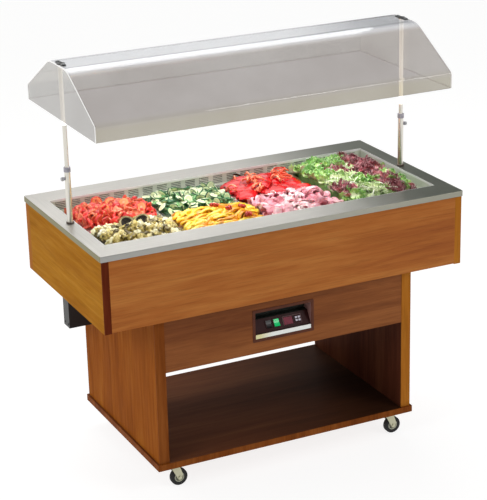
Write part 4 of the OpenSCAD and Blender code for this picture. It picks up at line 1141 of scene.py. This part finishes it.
PANELS = ((-0.112, 0.07, 0.35), (-0.108, -0.075, 0.9), (0.004, -0.096, 0.1), (0.05, 0.08, 0.25),
          (0.112, -0.02, 1.2), (-0.04, 0.09, -0.1), (-0.06, -0.02, 0.7))        # x, y, turn
STRIPS = ((-0.036, 0.03, 9), (-0.05, -0.05, 7), (-0.03, 0.1, 5), (-0.14, 0.0, 4), (0.06, 0.0, 6),
          (0.1, 0.08, 4))                                                       # x, y, how many


def red_peppers():
    """Large panels with heaps of thin strips and two rings on them."""
    t = Tray("pan_3_rear", peak=0.022, fill=0.0, seed=15)
    t.bed(2)
    t.scatter(22, 0.036, lambda: pepper_panel(t.rng, t.draw(0.08, 0.11), t.draw(0.055, 0.07),
                                              t.draw(1.1, 1.7)), lift=(0.0, 0.006), tilt=0.25)
    for x, y, turn in PANELS:
        piece = pepper_panel(t.rng, 0.115, 0.074, 1.1)
        pitch = Matrix.Rotation(t.rng.gauss(0, 0.12), 4, "Y")
        t.add(piece, x, y, lift=0.012, turn=Matrix.Rotation(turn, 4, "Z") @ pitch)
    for cx, cy, count in STRIPS:
        for _ in range(count):
            x, y = cx + t.rng.gauss(0, 0.016), cy + t.rng.gauss(0, 0.016)
            piece = strip(t.rng, length=t.draw(0.045, 0.075), width=0.0065, thick=0.003,
                          curl=t.draw(0.015, 0.04), twist=t.draw(-1, 1))
            t.add(piece, x, y, lift=t.draw(0.018, 0.026), tilt=0.5, slot=1)
    for x, y, r in ((0.076, -0.036, 0.021), (0.084, 0.036, 0.023)):
        t.add(ring(t.rng, r, 0.0065, 0.003), x, y, lift=0.03, tilt=0.25, slot=1)
    red = food("red_pepper", (172, 0, 6), (200, 2, 10), (220, 10, 20), rough=0.22, scale=18, coat=0.22,
               depth=0.0001, spread=0.3, Specular_IOR_Level=0.3)
    orange = food("pepper_strip", (232, 66, 36), (246, 112, 70), (252, 176, 130), scale=70, coat=0.3)
    under = food("red_under", (140, 2, 8), (186, 8, 16), rough=0.4)
    t.done("food_red_peppers", [red, orange, under])


def ham_fold(rng, length, width):
    """Thin slice folded over itself in loose waves."""
    p = [rng.uniform(0, 6) for _ in range(3)]
    turns = rng.uniform(0.9, 1.5)

    def surface(u, v):
        a = v * turns * 2 * math.pi
        r = width * (0.28 + 0.16 * v) * (1 + 0.14 * math.sin(5 * u + p[0]))
        return Vector(((u - 0.5) * length + 0.004 * math.sin(a * 2 + p[1]), r * math.sin(a),
                       r * math.cos(a) * 0.72 + 0.003 * math.sin(9 * u + p[2])))

    return patch(surface, 12, 20, 0.0016)


def ham():
    """Folded slices with a few white bits between them."""
    t = Tray("pan_3_front", peak=0.022, fill=0.0, seed=16)
    t.bed(2)
    t.scatter(60, 0.02, lambda: ham_fold(t.rng, t.draw(0.044, 0.07), t.draw(0.046, 0.062)),
              lift=(-0.002, 0.006), tilt=0.5)
    for x, y in t.spots(12, inset=0.014):
        size = t.draw(0.009, 0.015)
        piece = blob(t.rng, (size * 1.3, size, size * 0.8), 0.35, 5.0)
        t.add(piece, x, y, lift=t.draw(0.002, 0.014), tilt=0.8, slot=1)
    pink = food("ham_slice", (204, 112, 126), (224, 150, 160), (238, 182, 188), (248, 214, 214),
                rough=0.35, scale=60, coat=0.15, spread=0.6, soft=0.15)
    white = food("chicken_bits", (238, 204, 200), (250, 232, 228), (255, 247, 244), rough=0.35, coat=0.3)
    under = food("ham_under", (206, 130, 140), (236, 190, 192), rough=0.4)
    t.done("food_ham", [pink, white, under])


GREEN, RED, PALE, SHREDS = range(4)
# Where each kind of leaf lies in the pan
SALAD = ((-0.08, 0.212, GREEN), (-0.11, 0.09, GREEN), (0.0, 0.235, GREEN), (-0.01, 0.15, GREEN),
         (0.14, -0.05, GREEN), (0.13, -0.17, GREEN), (-0.109, -0.19, GREEN), (-0.013, -0.107, GREEN),
         (-0.13, 0.0, GREEN), (0.07, 0.16, RED), (0.14, 0.1, RED), (0.078, -0.06, RED), (0.01, 0.01, RED),
         (-0.13, -0.14, RED), (0.06, -0.165, RED), (0.12, 0.2, RED), (0.09, 0.04, RED), (0.09, -0.23, RED),
         (-0.05, 0.1, RED), (-0.06, 0.03, PALE), (-0.05, -0.18, PALE), (0.0, -0.19, PALE),
         (-0.13, -0.06, PALE), (-0.07, -0.11, PALE), (0.0, -0.24, PALE), (0.03, 0.08, PALE))
# Length, width, ruffle, cup and folds of each kind
LEAVES = {GREEN: (0.06, 0.05, 0.006, 0.5, 4), RED: (0.046, 0.042, 0.009, 0.8, 7),
          PALE: (0.052, 0.026, 0.006, 0.9, 5)}


def salad():
    """Leaves of three kinds, each where most of its kind lie, with pale shreds."""
    t = Tray("pan_4", peak=0.03, fill=0.002, seed=17, flat=9)
    t.bed(4)

    def kind_at(x, y):
        x, y = x + t.rng.gauss(0, 0.012), y + t.rng.gauss(0, 0.012)
        return min(SALAD, key=lambda spot: math.hypot(x - spot[0], y - spot[1]))[2]

    for x, y in t.spots(230, inset=0.012):
        kind = kind_at(x, y)
        size = t.draw(0.8, 1.15)
        length, width, *form = LEAVES[kind]
        piece = leaf(t.rng, length * size, width * size, *form)
        t.add(piece, x, y, lift=t.draw(-0.002, 0.014), tilt=0.75, slot=kind)
    for x, y in t.spots(230, inset=0.02):
        if kind_at(x, y) == PALE:
            piece = strip(t.rng, length=t.draw(0.04, 0.06), width=0.004, thick=0.0018,
                          curl=t.draw(0.02, 0.06), twist=t.draw(-2, 2))
            t.add(piece, x, y, lift=t.draw(0.012, 0.024), tilt=0.5, slot=SHREDS)
    green = leaf_material("lettuce_leaf", (236, 244, 200), (170, 212, 92), (98, 170, 62))
    red = leaf_material("radicchio_leaf", (244, 204, 204), (186, 70, 84), (124, 26, 44))
    pale = leaf_material("pale_leaf", (250, 250, 232), (226, 236, 176), (170, 208, 112))
    shred = food("pale_shreds", (222, 234, 186), (242, 246, 218), (252, 252, 240), rough=0.3)
    under = food("salad_under", (54, 96, 40), (92, 138, 62), (132, 166, 84), rough=0.5, scale=40, coat=0.0)
    t.done("food_mixed_salad", [green, red, pale, shred, under])


tomatoes()
artichokes()
cucumbers()
yellow_peppers()
red_peppers()
ham()
salad()


# ---- Small pieces on the cabinet -----------------------------------------------------


def strip_material(left):
    """Off-white, a little yellower at its left end."""
    s = Shader("bare_strip", Coat_Weight=0.3, Coat_Roughness=0.15)
    fade = s.span(s.axis(s.coords(), 0), left + 0.02, left + 0.07)
    s.set(Base_Color=s.ramp(fade, (0.0, (222, 216, 160)), (1.0, (236, 238, 234))), Roughness=0.3)
    return s.bump(s.noise(s.coords(), 400, 2), 0.00003)


def label_strip():
    """Thin bare plate along the foot of the control recess, with round corners and a soft edge."""
    radius, steps, gap = 0.002, 5, 0.003
    low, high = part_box("control_housing")
    start = Vector((low.x + BEZEL + gap, low.y + 0.0003, low.z + BEZEL + gap))
    end = Vector((high.x - BEZEL - gap, low.y + 0.0015, start.z + 0.0165))
    w, d, h = end - start
    soft = d * 0.4

    def loop(inset, y):
        out = []
        for cx, cz, a0 in ((1, 1, 0), (-1, 1, 90), (-1, -1, 180), (1, -1, 270)):
            for k in range(steps + 1):
                a = math.radians(a0 + 90 * k / steps)
                out.append(Vector((cx * (w / 2 - radius) + (radius - inset) * math.cos(a), y,
                                   cz * (h / 2 - radius) + (radius - inset) * math.sin(a))))
        return out

    loops = [loop(0, d / 2), loop(0, soft - d / 2), loop(soft, -d / 2)]
    n = len(loops[0])
    verts = [v for corners in loops for v in corners]
    faces = [[k + i, k + (i + 1) % n, k + n + (i + 1) % n, k + n + i] for k in (0, n) for i in range(n)]
    faces.append([2 * n + i for i in range(n)])
    faces.append(list(reversed(range(n))))
    heap = Heap(random.Random(3))
    heap.add((verts, faces, [v.copy() for v in verts], None), Matrix.Translation((start + end) / 2))
    obj = heap.build("label_strip", "cabinet", [strip_material(start.x)])
    obj.data.polygons.foreach_set("use_smooth", [False] * len(obj.data.polygons))


label_strip()


# ---- Stage, light and camera ---------------------------------------------------------


def floor():
    """Wide pale floor; it glows a little, so that its far side stays light."""
    mesh = bpy.data.meshes.new("floor")
    r = 40.0
    mesh.from_pydata([(-r, -r, 0), (r, -r, 0), (r, r, 0), (-r, r, 0)], [], [(0, 1, 2, 3)])
    obj = bpy.data.objects.new("floor", mesh)
    bpy.context.scene.collection.objects.link(obj)
    s = Shader("floor_pale", Base_Color=(0.25, 0.25, 0.25), Roughness=0.9, Emission_Color=(1, 1, 1),
               Emission_Strength=0.84)
    mesh.materials.append(s.mat)


def area(name, at, target, size, power):
    """Rectangular lamp that faces the target."""
    lamp = bpy.data.lights.new(name, "AREA")
    lamp.shape = "RECTANGLE"
    lamp.size, lamp.size_y = size
    lamp.energy = power
    obj = bpy.data.objects.new(name, lamp)
    obj.location = at
    obj.rotation_euler = (Vector(target) - Vector(at)).to_track_quat("-Z", "Y").to_euler()
    bpy.context.scene.collection.objects.link(obj)
    return obj


def world():
    """Pale studio with one dark screen standing behind the object, to its right."""
    data = bpy.data.worlds.new("studio")
    bpy.context.scene.world = data
    data.use_nodes = True
    s = Nodes(data.node_tree)
    way = s.node("TexCoord").outputs["Generated"]
    x, y, z = (s.axis(way, i) for i in range(3))
    soft = {"interpolation_type": "SMOOTHSTEP"}
    begin, begun, end, ended = (math.radians(turn) for turn in SCREEN)
    turn = s.maths("ARCTAN2", x, y)
    sides = s.times(s.span(turn, begin, begun, **soft), s.span(turn, end, ended, 1.0, 0.0, **soft))
    screen = s.times(sides, s.span(z, 0.5, 0.75, 1.0, 0.0, **soft))
    room = s.mix(s.span(y, -0.2, 0.5, **soft), WORLD_FRONT, WORLD_BACK)
    back = s.node("Background")
    s.put(back.inputs[0], s.mix(screen, room, WORLD_SCREEN))
    s.put(s.node("OutputWorld").inputs[0], back.outputs[0])


def camera():
    """The camera of the photograph."""
    a, e, r = (math.radians(v) for v in (AZIMUTH, ELEVATION, ROLL))
    back = Vector((math.sin(a) * math.cos(e), -math.cos(a) * math.cos(e), math.sin(e)))
    right = (-back).cross(Vector((0, 0, 1))).normalized()
    up = right.cross(-back)
    x = right * math.cos(r) + up * math.sin(r)
    y = up * math.cos(r) - right * math.sin(r)
    data = bpy.data.cameras.new("camera")
    data.sensor_width = 36
    data.sensor_fit = "AUTO"
    data.lens = FOCAL_PX / max(IMAGE) * data.sensor_width
    data.clip_end = 200
    obj = bpy.data.objects.new("camera", data)
    obj.matrix_world = Matrix.Translation(CAMERA_AT) @ Matrix((x, y, back)).transposed().to_4x4()
    bpy.context.scene.collection.objects.link(obj)
    bpy.context.scene.camera = obj


floor()
world()
area("softbox_over", (0.5, 2.3, 3.9), (0.2, 0, 1.2), (3.6, 1.8), 58)
area("key", (-4.4, -1.5, 3.4), (0, 0, 0.7), (2.0, 2.0), 60)
area("fill", (3.2, -4.4, 4.2), (0, 0, 0.8), (2.4, 2.4), 104)
under_hood = area("under_hood", (0, -0.02, HOOD_TOP - 0.06), (0, -0.02, 0), (1.3, 0.2), 2.7)
under_hood.data.spread = math.radians(84)
camera()
bpy.context.scene.view_settings.view_transform = "Standard"
